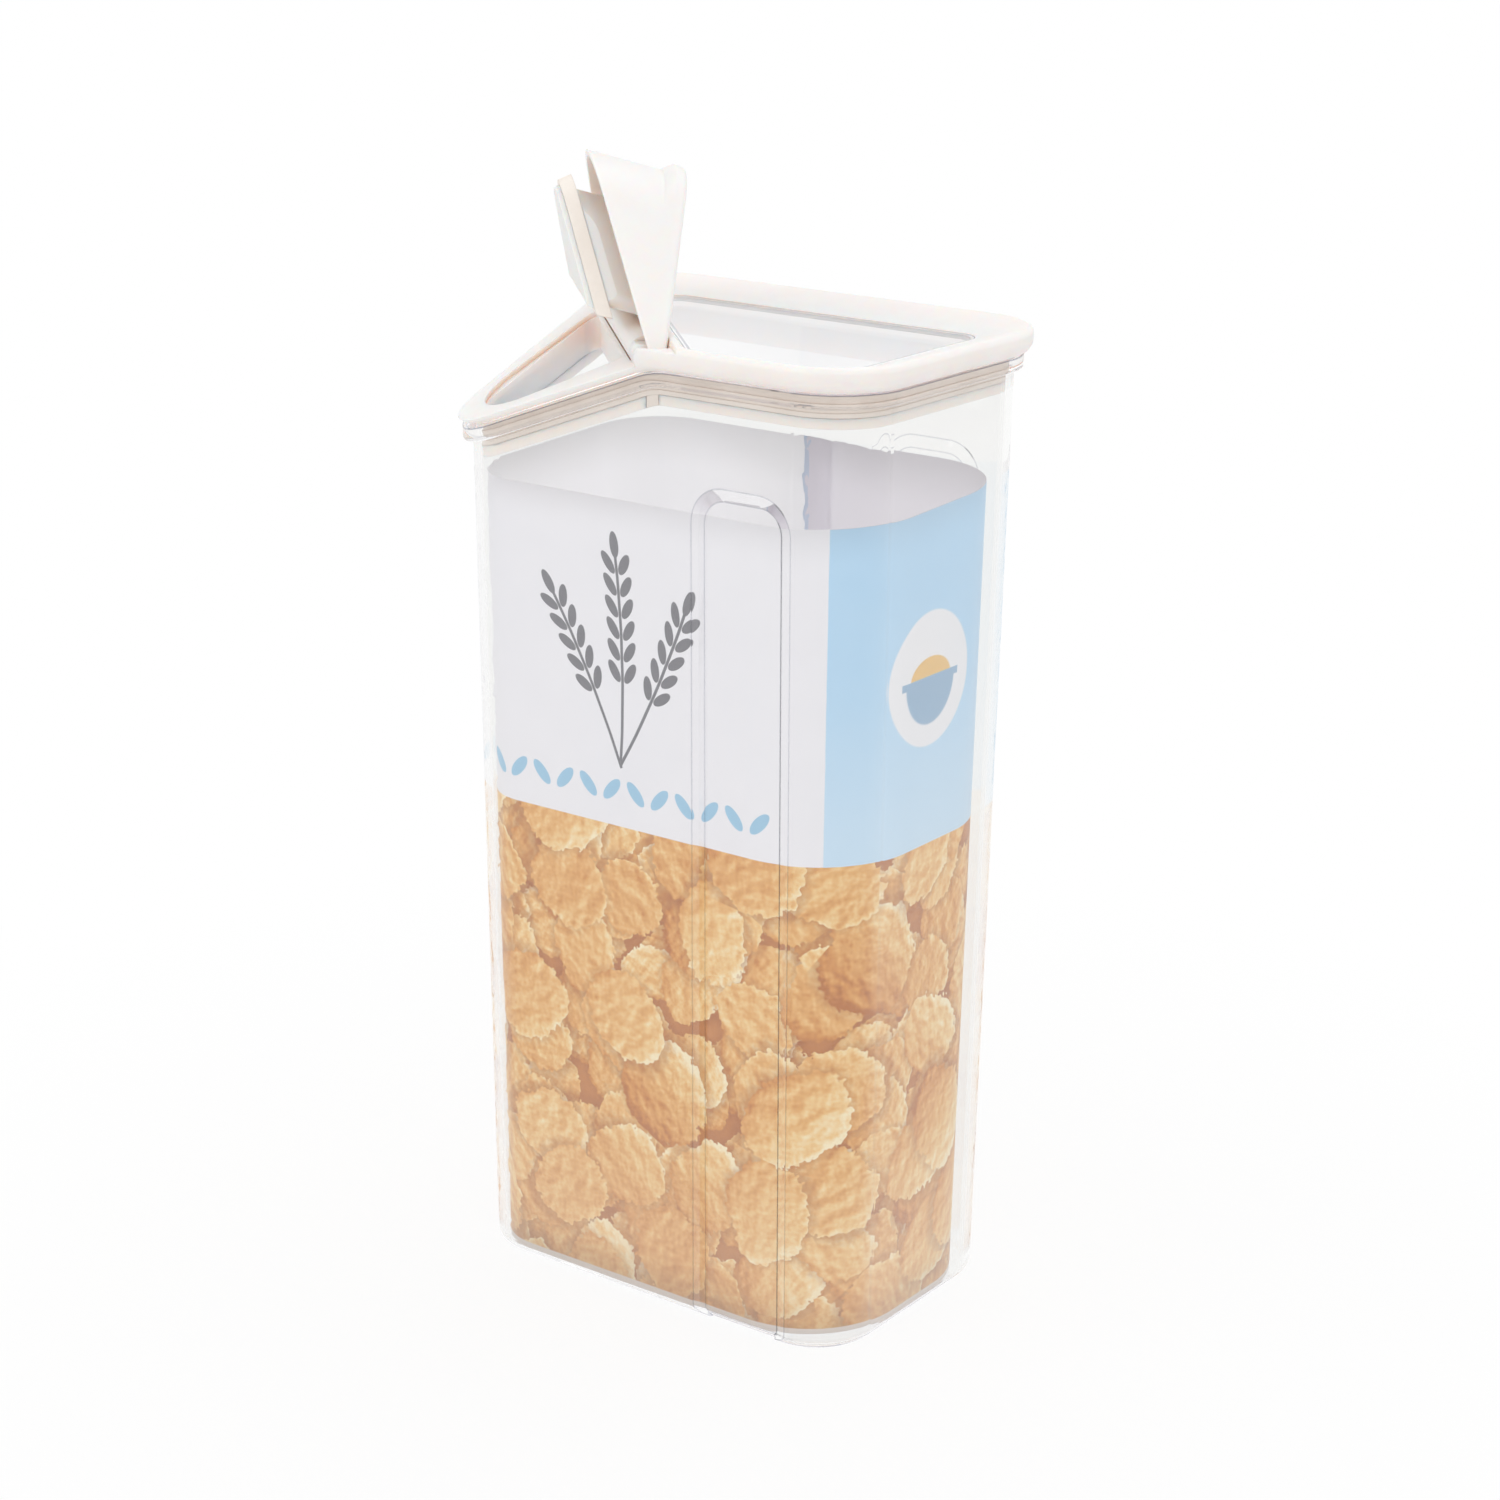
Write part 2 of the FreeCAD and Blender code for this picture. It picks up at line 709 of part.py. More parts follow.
def make_cap_cover():
    end = hinge_setback
    lip_z = closed_height - cap_lip_height
    flare_z = lip_z - cap_lip_flare
    low = flange_z - corner_depth
    lip = prism(cap_outline(cap_lip_radius, cap_inset, end, lip_z), cap_lip_height)
    rim = [edge for edge in edges_at_level(lip, closed_height) if middle_of(edge).x < -end - 1e-3]
    lip = lip.makeFillet(cap_edge_radius, rim)
    flare = Part.makeLoft(
        [
            cap_outline(cap_tip_radius, cap_inset, end, flare_z),
            cap_outline(cap_lip_radius, cap_inset, end, lip_z),
        ],
        True,
        True,
    )
    skirt = prism(cap_outline(cap_tip_radius, cap_inset, end, low), flare_z - low)
    plate_z = closed_height - cap_top
    hollow = prism(cap_outline(cap_tip_radius - cap_wall, cap_inset + cap_wall, 0.0, low), plate_z - low)
    shell = lip.fuse([flare, skirt]).cut([hollow, depth_slab(-cap_seat_gap, reach), hinge_end_space()])
    bridge_length = cradle_outer + barrel_radius
    bridge = Part.makeBox(
        bridge_length,
        2.0 * barrel_half,
        cap_top,
        Vector(-hinge_setback - bridge_length, -barrel_half, plate_z),
    )
    barrel = rod(barrel_radius, barrel_half)
    pins = rod(pin_radius, barrel_half + pin_length)
    stem_end = hinge_setback + cradle_outer + plug_hinge_gap
    stem = mouth_prism(stem_offset, stem_apex_radius, mouth_corner_radius, stem_end)
    stem_core = mouth_prism(
        stem_offset + stem_wall,
        stem_apex_radius - stem_wall,
        mouth_corner_radius,
        stem_end + stem_wall,
    )
    stem = stem.cut(over_level(plate_z + cap_top / 2.0))
    upper = stem.cut(stem_core).cut(depth_slab(0.0, reach))
    lower = stem.common(plug(stem_clearance)).cut(stem_core.common(plug(stem_clearance + stem_wall)))
    lower = lower.common(depth_slab(0.0, stem_depth))
    return shell.fuse([bridge, barrel, pins, upper, lower])


def core_prism(offset):
    """Core that carries the seal and ties the plug's base to the cap, in the corner's frame."""
    end = hinge_setback + cradle_outer + plug_hinge_gap + core_offset - stem_offset
    return mouth_prism(core_offset + offset, core_apex_radius - offset, core_corner_radius, end + offset)


def make_cap_seal():
    band = plug(seal_clearance).common(depth_slab(stem_depth, stem_depth + seal_height))
    return band.cut(core_prism(-core_fit))


def make_cap_base():
    seal_low = stem_depth + seal_height
    plate = plug(base_clearance).common(depth_slab(seal_low, seal_low + base_height))
    core = core_prism(0.0).cut(core_prism(core_wall)).cut(depth_slab(seal_low, reach))
    return plate.fuse(core.cut(over_level(closed_height - cap_top)))


def opened(shape):
    """Swing a cap piece from its closed place to the open rest place."""
    swung = shape.copy()
    swung.rotate(hinge_point, hinge_direction, open_angle)
    return at_corner(swung)


def main():
    pieces = {
        "jar_body": make_jar_body(),
        "display_card": make_display_card(),
        "lid_frame": make_lid_frame(),
        "lid_inner_ring": make_lid_inner_ring(),
        "lid_gasket": make_lid_gasket(),
        "lid_window": make_lid_window(),
        "cap_cover": opened(make_cap_cover()),
        "cap_seal": opened(make_cap_seal()),
        "cap_base": opened(make_cap_base()),
    }
    os.makedirs("parts", exist_ok=True)
    for name, shape in pieces.items():
        solid = shape.removeSplitter()
        box = solid.optimalBoundingBox(False)
        print(
            f"{name:16s} solids {len(solid.Solids)} valid {solid.isValid()} volume {solid.Volume:10.1f}"
            f"  x {box.XMin:7.2f} {box.XMax:7.2f}  y {box.YMin:7.2f} {box.YMax:7.2f}"
            f"  z {box.ZMin:7.2f} {box.ZMax:7.2f}"
        )
        solid.exportStep(f"parts/{name}.step")


main()
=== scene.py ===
# %% [markdown]
# A clear food keeper with a white pouring lid, dressed for a studio picture.
# The CAD model brings every rigid shape in its true place, so this lesson adds what CAD can't
# show: plastics, rubber, a printed card, light and a camera.

# %% Load the imported model
import json
import math

import bpy
from mathutils import Matrix, Vector

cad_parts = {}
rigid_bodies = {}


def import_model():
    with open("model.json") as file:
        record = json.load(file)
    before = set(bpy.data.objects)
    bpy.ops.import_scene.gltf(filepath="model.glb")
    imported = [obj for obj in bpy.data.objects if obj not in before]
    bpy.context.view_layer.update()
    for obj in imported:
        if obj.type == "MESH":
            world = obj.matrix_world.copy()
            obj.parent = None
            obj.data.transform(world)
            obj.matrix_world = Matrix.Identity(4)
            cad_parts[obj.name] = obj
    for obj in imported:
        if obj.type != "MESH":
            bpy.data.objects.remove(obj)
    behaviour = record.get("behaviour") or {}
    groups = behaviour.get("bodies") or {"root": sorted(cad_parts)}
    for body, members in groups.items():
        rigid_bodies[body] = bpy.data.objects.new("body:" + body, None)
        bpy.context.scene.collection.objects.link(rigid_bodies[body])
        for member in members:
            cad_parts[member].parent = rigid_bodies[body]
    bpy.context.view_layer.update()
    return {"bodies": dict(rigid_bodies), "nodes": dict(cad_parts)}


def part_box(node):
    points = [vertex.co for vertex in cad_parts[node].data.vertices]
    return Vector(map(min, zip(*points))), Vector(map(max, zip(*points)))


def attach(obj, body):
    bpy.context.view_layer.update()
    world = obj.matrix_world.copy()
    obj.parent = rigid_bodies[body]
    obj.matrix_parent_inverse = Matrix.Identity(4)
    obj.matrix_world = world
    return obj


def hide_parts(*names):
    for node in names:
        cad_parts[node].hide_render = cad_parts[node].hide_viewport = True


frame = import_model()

own = set(frame["nodes"].values()) | set(frame["bodies"].values())
for leftover in [thing for thing in bpy.data.objects if thing not in own]:
    bpy.data.objects.remove(leftover)
print("pieces from CAD:", sorted(frame["nodes"]))

# %% [markdown]
# The camera stands to the front right, a little above the lid, as a catalogue picture is taken.
# A long lens keeps the upright edges nearly parallel.  Its place could be dragged by hand, but
# angles and a distance say more: we turn them into the camera's three axes and its position.

# %% Stand the camera
MM = 0.001
CAMERA_TURN = math.radians(36.23)
CAMERA_LIFT = math.radians(17.69)
CAMERA_ROLL = math.radians(0.57)
CAMERA_DISTANCE = 973.2 * MM
CAMERA_SLIDE = (4.18 * MM, 15.85 * MM)
AIM = Vector((0.0, 0.0, 147.5 * MM))
LENS_LENGTH = 77.568
SENSOR_WIDTH = 36.0

backward = Vector((
    math.sin(CAMERA_TURN) * math.cos(CAMERA_LIFT),
    -math.cos(CAMERA_TURN) * math.cos(CAMERA_LIFT),
    math.sin(CAMERA_LIFT),
))
level = Vector((math.cos(CAMERA_TURN), math.sin(CAMERA_TURN), 0.0))
upright = backward.cross(level)
sideways = level * math.cos(CAMERA_ROLL) + upright * math.sin(CAMERA_ROLL)
upward = upright * math.cos(CAMERA_ROLL) - level * math.sin(CAMERA_ROLL)
eye = AIM + backward * CAMERA_DISTANCE + sideways * CAMERA_SLIDE[0] + upward * CAMERA_SLIDE[1]

lens = bpy.data.cameras.new("catalogue_lens")
lens.sensor_width = SENSOR_WIDTH
lens.lens = LENS_LENGTH
camera = bpy.data.objects.new("catalogue_camera", lens)
camera.matrix_world = Matrix((
    (sideways.x, upward.x, backward.x, eye.x),
    (sideways.y, upward.y, backward.y, eye.y),
    (sideways.z, upward.z, backward.z, eye.z),
    (0.0, 0.0, 0.0, 1.0),
))
bpy.context.collection.objects.link(camera)
bpy.context.scene.camera = camera
print("camera at", [round(value, 3) for value in eye])

# %% [markdown]
# Materials in Blender are small graphs.  Wiring them by hand in the editor is fine for one, but
# a script is easier to read when each recipe looks like a formula.  The bench below adds nodes to
# one tree, and plugs in either another node's output or a plain number.

# %% A bench for wiring node trees
class NodeBench:
    """Adds nodes to one tree and wires them, so that a recipe reads like a formula."""

    COLOUR_INPUTS = (6, 7)
    COLOUR_OUTPUT = 2

    def __init__(self, tree):
        self.tree = tree

    def plug(self, socket, value):
        if isinstance(value, bpy.types.NodeSocket):
            self.tree.links.new(value, socket)
        elif value is not None:
            socket.default_value = value

    def node(self, kind, inputs=None, **settings):
        made = self.tree.nodes.new("ShaderNode" + kind)
        for name, value in settings.items():
            setattr(made, name, value)
        for name, value in (inputs or {}).items():
            self.plug(made.inputs[name], value)
        return made

    def calc(self, operation, *values):
        made = self.node("Math", operation=operation)
        for socket, value in zip(made.inputs, values):
            self.plug(socket, value)
        return made.outputs[0]

    def along(self, operation, *values):
        made = self.node("VectorMath", operation=operation)
        for socket, value in zip(made.inputs, values):
            self.plug(socket, value)
        return made.outputs["Value" if operation in ("LENGTH", "DOT_PRODUCT") else "Vector"]

    def fade(self, value, start, end, low=0.0, high=1.0):
        """Smooth step: low at start, high at end."""
        inputs = {"Value": value, "From Min": start, "From Max": end, "To Min": low, "To Max": high}
        return self.node("MapRange", inputs, interpolation_type="SMOOTHSTEP").outputs["Result"]

    def blend(self, amount, below, above):
        """Colour mix: below at 0, above at 1."""
        made = self.node("Mix", {"Factor": amount}, data_type="RGBA")
        for number, value in zip(self.COLOUR_INPUTS, (below, above)):
            self.plug(made.inputs[number], value)
        return made.outputs[self.COLOUR_OUTPUT]

    def split(self, vector):
        made = self.node("SeparateXYZ", {"Vector": vector})
        return made.outputs[0], made.outputs[1], made.outputs[2]

    def join(self, x, y, z=0.0):
        return self.node("CombineXYZ", {"X": x, "Y": y, "Z": z}).outputs[0]

    def millimetres(self):
        """The place on the piece, in millimetres."""
        place = self.node("TexCoord").outputs["Object"]
        scaled = self.node("VectorMath", {"Vector": place, "Scale": 1.0 / MM}, operation="SCALE")
        return scaled.outputs["Vector"]

    def turn(self, vector, angle):
        """A place on the flat sheet, turned about the sheet's upright."""
        inputs = {"Vector": vector, "Angle": angle}
        return self.node("VectorRotate", inputs, rotation_type="Z_AXIS").outputs[0]

    def noise(self, place, scale, detail=2.0, roughness=0.5):
        inputs = {"Vector": place, "Scale": scale, "Detail": detail, "Roughness": roughness}
        return self.node("TexNoise", inputs).outputs["Fac"]

    def group(self, tree, **values):
        made = self.node("Group", node_tree=tree)
        for name, value in values.items():
            self.plug(made.inputs[name.replace("_", " ")], value)
        return made.outputs


def tint(red, green, blue):
    """A colour as it reads on a screen, from 0 to 255, turned into light."""
    shares = [value / 255.0 for value in (red, green, blue)]
    light = [x / 12.92 if x <= 0.04045 else ((x + 0.055) / 1.055) ** 2.4 for x in shares]
    return (*light, 1.0)


def start_group(title, inputs, outputs):
    """A shader node group with named sockets, and a bench with its input and output nodes."""
    tree = bpy.data.node_groups.new(title, "ShaderNodeTree")
    for name, kind, value in inputs:
        socket = tree.interface.new_socket(name, in_out="INPUT", socket_type="NodeSocket" + kind)
        if value is not None:
            socket.default_value = value
    for name, kind in outputs:
        tree.interface.new_socket(name, in_out="OUTPUT", socket_type="NodeSocket" + kind)
    bench = NodeBench(tree)
    source = tree.nodes.new("NodeGroupInput").outputs
    target = tree.nodes.new("NodeGroupOutput").inputs
    return bench, source, target


def start_material(title):
    material = bpy.data.materials.new(title)
    material.use_nodes = True
    bench = NodeBench(material.node_tree)
    nodes = material.node_tree.nodes
    return material, bench, nodes["Principled BSDF"], nodes["Material Output"].inputs["Surface"]


print("white reads as", [round(value, 2) for value in tint(255, 255, 255)])

# %% [markdown]
# Moulded plastic is never a perfect mirror.  The tool's fine spark texture breaks the gloss, the
# skin sinks a little over thick places, and edges are rounded by a few tenths of a millimetre.
# Several pieces share this skin, so it is a node group: it hands out a roughness that drifts over
# the surface and a normal with the grain and the soft edges in it.

# %% Moulded skin, shared by the white plastics and the rubber
skin, source, target = start_group(
    "Moulded skin",
    [
        ("Grain Size", "Float", 0.35),
        ("Grain Depth", "Float", 0.1),
        ("Smooth", "Float", 0.35),
        ("Rough", "Float", 0.5),
    ],
    [("Roughness", "Float"), ("Normal", "Vector"), ("Drift", "Float")],
)
SOFT_EDGE = 0.35 * MM
GRAIN_DISTANCE = 0.05 * MM
place = skin.millimetres()
grain = skin.noise(place, skin.calc("DIVIDE", 1.0, source["Grain Size"]), 2.0)
sink = skin.noise(place, 0.035, 1.0)
drift = skin.noise(place, 0.09, 3.0, 0.6)
height = skin.calc("MULTIPLY_ADD", sink, 6.0, grain)
soft_edge = skin.node("Bevel", {"Radius": SOFT_EDGE}, samples=4)
bump = skin.node("Bump", {
    "Strength": source["Grain Depth"],
    "Distance": GRAIN_DISTANCE,
    "Height": height,
    "Normal": soft_edge.outputs["Normal"],
})
gloss = skin.calc("MULTIPLY_ADD", grain, 0.25, skin.fade(drift, 0.3, 0.7, 0.0, 0.75))
skin.plug(target["Roughness"], skin.node("MapRange", {
    "Value": gloss,
    "To Min": source["Smooth"],
    "To Max": source["Rough"],
}).outputs["Result"])
skin.plug(target["Normal"], bump.outputs["Normal"])
skin.plug(target["Drift"], drift)
print("moulded skin:", len(skin.tree.nodes), "nodes")

# %% [markdown]
# Handled plastic carries faint finger marks and wipe streaks, which show only as a slightly
# duller gloss.  They are patches of stretched noise, kept weak, and both clear pieces and the
# white ones use them.

# %% Handling marks
marks, source, target = start_group(
    "Handling marks",
    [("Clean", "Float", 0.02), ("Dull", "Float", 0.08), ("Spread", "Float", 0.5)],
    [("Roughness", "Float"), ("Mask", "Float")],
)
WIPED_UPWARDS = (1.0, 1.0, 0.42)
place = marks.along("MULTIPLY", marks.millimetres(), WIPED_UPWARDS)
patch = marks.noise(place, 0.028, 3.0, 0.6)
streak = marks.noise(place, 0.35, 2.0)
mask = marks.calc("MULTIPLY", marks.fade(patch, source["Spread"], 0.8), marks.fade(streak, 0.3, 0.75))
marks.plug(target["Mask"], mask)
marks.plug(target["Roughness"], marks.node("MapRange", {
    "Value": mask,
    "To Min": source["Clean"],
    "To Max": source["Dull"],
}).outputs["Result"])
print("handling marks:", len(marks.tree.nodes), "nodes")

# %% [markdown]
# The lid and its cap are satin white polypropylene, a touch warm.  In deep corners white plastic
# lights itself and looks rosier, because light bounces there from wall to wall.  A little tint by
# ambient occlusion gives that without extra lamps.  The inner ring and the plug's base come from
# other tools and are duller.  Each piece has its own warmth, reach into the corners and soak, the
# depth to which light enters it.

# %% White plastics
def dress(name, finish):
    materials = frame["nodes"][name].data.materials
    materials.clear()
    materials.append(finish)


def white_plastic(title, open_tint, deep_tint, gloss_range, depth, shut, soak):
    material, bench, shader, _ = start_material(title)
    smooth, rough = gloss_range
    surface = bench.group(skin.tree, Grain_Size=0.3, Grain_Depth=0.12, Smooth=smooth, Rough=rough)
    wear = bench.group(marks.tree, Clean=0.0, Dull=0.12, Spread=0.45)
    # Painted shade and bounce light: ambient occlusion turns the colour to the deep tint in corners and
    # gaps.
    shade = bench.node("AmbientOcclusion", {"Distance": depth}, samples=6)
    deep = bench.fade(shade.outputs["AO"], 0.1, shut, 1.0, 0.0)
    cast = bench.blend(bench.fade(surface["Drift"], 0.3, 0.7, 0.0, 0.12), open_tint, deep_tint)
    bench.plug(shader.inputs["Base Color"], bench.blend(deep, cast, deep_tint))
    bench.plug(shader.inputs["Roughness"], bench.calc("ADD", surface["Roughness"], wear["Roughness"]))
    bench.plug(shader.inputs["Normal"], surface["Normal"])
    shader.inputs["IOR"].default_value = 1.49
    shader.inputs["Subsurface Weight"].default_value = 1.0
    shader.inputs["Subsurface Radius"].default_value = (1.0, 0.7, 0.55)
    shader.inputs["Subsurface Scale"].default_value = soak
    return material


SATIN = (0.3, 0.46)
MATT = (0.4, 0.55)
warm_shade = tint(248, 224, 213)
pale_shade = tint(247, 235, 229)
rosy_shade = tint(255, 237, 227)
dress("lid_frame", white_plastic(
    "lid_white", tint(246, 243, 241), warm_shade, SATIN, depth=40 * MM, shut=1.0, soak=4 * MM))
dress("lid_inner_ring", white_plastic(
    "ring_white", tint(245, 242, 240), pale_shade, MATT, depth=40 * MM, shut=0.85, soak=3 * MM))
dress("cap_cover", white_plastic(
    "cap_white", tint(247, 245, 243), rosy_shade, SATIN, depth=40 * MM, shut=0.6, soak=1 * MM))
dress("cap_base", white_plastic(
    "plug_white", tint(250, 245, 241), rosy_shade, MATT, depth=30 * MM, shut=0.7, soak=1 * MM))
print("white pieces dressed: 4")

# %% [markdown]
# Two pieces are soft: the greige gasket round the skirt, which shows through the jar's wall, and
# the beige lip seal on the plug.  Silicone is matt, picks up a dusting of fine specks and is a
# little darker where it has been pressed.

# %% Soft seals
def soft_rubber(title, fresh, pressed):
    material, bench, shader, _ = start_material(title)
    surface = bench.group(skin.tree, Grain_Size=0.22, Grain_Depth=0.25, Smooth=0.55, Rough=0.75)
    speck = bench.fade(bench.noise(bench.millimetres(), 1.4, 1.0), 0.66, 0.72, 0.0, 0.35)
    body = bench.blend(bench.fade(surface["Drift"], 0.3, 0.7), fresh, pressed)
    bench.plug(shader.inputs["Base Color"], bench.blend(speck, body, tint(238, 234, 228)))
    bench.plug(shader.inputs["Roughness"], surface["Roughness"])
    bench.plug(shader.inputs["Normal"], surface["Normal"])
    return material


dress("lid_gasket", soft_rubber("greige_silicone", tint(236, 226, 217), tint(228, 217, 207)))
dress("cap_seal", soft_rubber("beige_silicone", tint(252, 244, 235), tint(247, 238, 228)))
print("soft pieces dressed: 2")

# %% [markdown]
# The jar and the lid's window are clear moulded plastic with real wall thickness in the CAD, so
# refraction comes by itself from the Principled shader's transmission.  Real glass would throw
# caustics, which are slow and noisy, so shadow and bounced rays pass straight through: a
# Transparent shader takes over for them by Light Path.  It also frees rays that have been mirrored
# inside a wall for too long, which would otherwise end there and leave black streaks.

# %% Clear plastics
CLEAR_IOR = 1.56
MOST_MIRRORED = 1.5
MOST_CROSSED = 4.5


def clear_plastic(title, clean, dull):
    """Clear material whose Base Color is still free, with its bench, shader and wear."""
    material, bench, shader, surface = start_material(title)
    wear = bench.group(marks.tree, Clean=clean, Dull=dull, Spread=0.42)
    bench.plug(shader.inputs["Roughness"], wear["Roughness"])
    shader.inputs["Transmission Weight"].default_value = 1.0
    shader.inputs["IOR"].default_value = CLEAR_IOR
    passing = bench.node("BsdfTransparent")
    ray = bench.node("LightPath")
    free = bench.calc("MAXIMUM", ray.outputs["Is Shadow Ray"], ray.outputs["Is Diffuse Ray"])
    trapped = bench.calc("GREATER_THAN", ray.outputs["Glossy Depth"], MOST_MIRRORED)
    lost = bench.calc("GREATER_THAN", ray.outputs["Ray Depth"], MOST_CROSSED)
    free = bench.calc("MAXIMUM", free, bench.calc("MAXIMUM", trapped, lost))
    mix = bench.node("MixShader", {0: free, 1: shader.outputs[0], 2: passing.outputs[0]})
    bench.plug(surface, mix.outputs[0])
    return material, bench, shader, wear


print("clear plastic recipe ready, index of refraction", CLEAR_IOR)

# %% [markdown]
# Where two clear faces meet, the rounded edge bends light so far that it reads as a fine grey
# line, and these lines draw the grip recess in the jar's long faces.  The edge is narrower than a
# pixel, so instead of more facets a mask finds it: the Bevel node's rounded normal leaves the true
# normal only there.  The line is then painted grey into the colour, as a painted refraction line.
# The deep edge on the recess's right is painted darkest, the faces that look down at the top of
# the recess get a painted grey shade, and the bead round the mouth gets a painted blue-grey shade
# line under the lid.

# %% The jar
GRIP_CENTRE = 35.3 * MM
GRIP_HALF_WIDTH = 18.0 * MM
GRIP_DEEP_EDGE = 48.5 * MM
GRIP_TOP_FROM = 200.0 * MM
GRIP_TOP_FULL = 210.0 * MM
MOUTH_FROM = 251.0 * MM
MOUTH_FULL = 252.0 * MM
painted_line_grey = tint(186, 186, 195)
painted_deep_line_grey = tint(70, 72, 80)
painted_arch_shade = tint(226, 223, 230)
painted_mouth_blue = tint(120, 123, 142)
edges, source, target = start_group(
    "Moulded edge",
    [("Radius", "Float", 0.6 * MM), ("Fine", "Float", 0.001), ("Full", "Float", 0.003)],
    [("Mask", "Float")],
)
rounded = edges.node("Bevel", {"Radius": source["Radius"]}, samples=8).outputs["Normal"]
straight = edges.node("NewGeometry").outputs["Normal"]
turned_away = edges.calc("SUBTRACT", 1.0, edges.along("DOT_PRODUCT", rounded, straight))
edges.plug(target["Mask"], edges.fade(turned_away, source["Fine"], source["Full"]))

clear_jar, bench, shader, wear = clear_plastic("clear_jar", 0.0, 0.05)
across, _, above = bench.split(bench.node("TexCoord").outputs["Object"])
facing_up = bench.split(bench.node("TexCoord").outputs["Normal"])[2]


def near_line(centre, start, end):
    """Mask that is 1 close to a plane across the jar and 0 further away."""
    away = bench.calc("ABSOLUTE", bench.calc("SUBTRACT", across, centre))
    return bench.fade(away, start, end, 1.0, 0.0)


in_grip = near_line(GRIP_CENTRE, GRIP_HALF_WIDTH, GRIP_HALF_WIDTH + 1.0 * MM)
deep_edge = near_line(GRIP_DEEP_EDGE, 1.0 * MM, 2.0 * MM)
# Painted refraction lines: sharp edges in the grip recess are painted grey, darkest at the deep edge.
painted_line_tint = bench.blend(deep_edge, painted_line_grey, painted_deep_line_grey)
sharp = bench.group(edges.tree)["Mask"]
line = bench.calc("MULTIPLY", sharp, in_grip)
# Painted shade: a blue-grey line is painted on the sharp edges of the bead round the mouth, under the
# lid.
mouth = bench.calc("MULTIPLY", sharp, bench.fade(above, MOUTH_FROM, MOUTH_FULL))
# Painted shade: faces that look down at the top of the grip recess are painted grey.
under_arch = bench.calc("MULTIPLY", bench.fade(facing_up, -0.2, -0.05, 1.0, 0.0), in_grip)
arch_shade_mask = bench.calc("MULTIPLY", under_arch, bench.fade(above, GRIP_TOP_FROM, GRIP_TOP_FULL))
body = bench.blend(wear["Mask"], tint(249, 249, 248), tint(247, 248, 248))
body = bench.blend(arch_shade_mask, body, painted_arch_shade)
body = bench.blend(mouth, body, painted_mouth_blue)
bench.plug(shader.inputs["Base Color"], bench.blend(line, body, painted_line_tint))
dress("jar_body", clear_jar)
print("jar material:", len(clear_jar.node_tree.nodes), "nodes")

# %% [markdown]
# The lid's window is a separate clear plate let into the frame.  Its cut sides gather light along
# the plate and look blue-grey, so that light is painted in: a blue-grey tint by the direction they
# face.  Its rim reads as a fine dark line, painted in by the same edge mask as on the jar.

# %% The window
WINDOW_EDGE = 0.5 * MM
painted_side_blue = tint(158, 164, 186)
painted_rim_line_blue = tint(96, 102, 128)
clear_window, bench, shader, wear = clear_plastic("clear_window", 0.0, 0.06)
facing_up = bench.split(bench.node("TexCoord").outputs["Normal"])[2]
# Painted light: faces that look sideways are painted blue-grey, and the rim gets a painted dark line.
side = bench.fade(bench.calc("ABSOLUTE", facing_up), 0.35, 0.6, 1.0, 0.0)
body = bench.blend(wear["Mask"], tint(253, 253, 254), tint(250, 251, 252))
body = bench.blend(side, body, painted_side_blue)
line = bench.group(edges.tree, Radius=WINDOW_EDGE)["Mask"]
bench.plug(shader.inputs["Base Color"], bench.blend(line, body, painted_rim_line_blue))
dress("lid_window", clear_window)
print("window material:", len(clear_window.node_tree.nodes), "nodes")

# %% [markdown]
# Inside the jar stands a printed card, rolled into a loop with its ends lapped at the back.  A
# flat picture can't bend, so the card is one strip of mesh that follows the CAD card: sides that
# lean on the jar's walls, four round corners, tighter on the left, a top edge that drops to the
# front, and a short lap.  Its UV map is the flat sheet: along the card and up the card.  A
# Solidify modifier gives the board its thickness, with a second material inside.

# %% Roll the card
CARD_LEFT_BEND = 20.0 * MM
CARD_RIGHT_BEND = 30.0 * MM
CARD_THICK = 0.4 * MM
CARD_SLOPE = 4.2 / 105.0
CARD_LEAN = math.tan(math.radians(0.638))
CARD_SEAM_X = 2.7 * MM
CARD_LAP = 12.0 * MM
CARD_STEP_IN = 4.0 * MM
BEND_STEPS = 20
CARD_ROWS = 16
card_low, card_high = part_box("display_card")


def card_outline(half_x, half_y):
    """Points along the card's outer side from its seam round to the lap, seen from above."""
    points = [Vector((CARD_SEAM_X, half_y))]
    for side_x, side_y, bend, start in (
        (-1.0, 1.0, CARD_LEFT_BEND, 90.0),
        (-1.0, -1.0, CARD_LEFT_BEND, 180.0),
        (1.0, -1.0, CARD_RIGHT_BEND, 270.0),
        (1.0, 1.0, CARD_RIGHT_BEND, 0.0),
    ):
        centre = Vector((side_x * (half_x - bend), side_y * (half_y - bend)))
        for step in range(BEND_STEPS + 1):
            angle = math.radians(start + 90.0 * step / BEND_STEPS)
            points.append(centre + Vector((math.cos(angle), math.sin(angle))) * bend)
    lap_y = half_y - CARD_THICK
    points.append(Vector((CARD_SEAM_X + CARD_STEP_IN, half_y)))
    points.append(Vector((CARD_SEAM_X, lap_y)))
    points.append(Vector((CARD_SEAM_X - CARD_LAP, lap_y)))
    return points


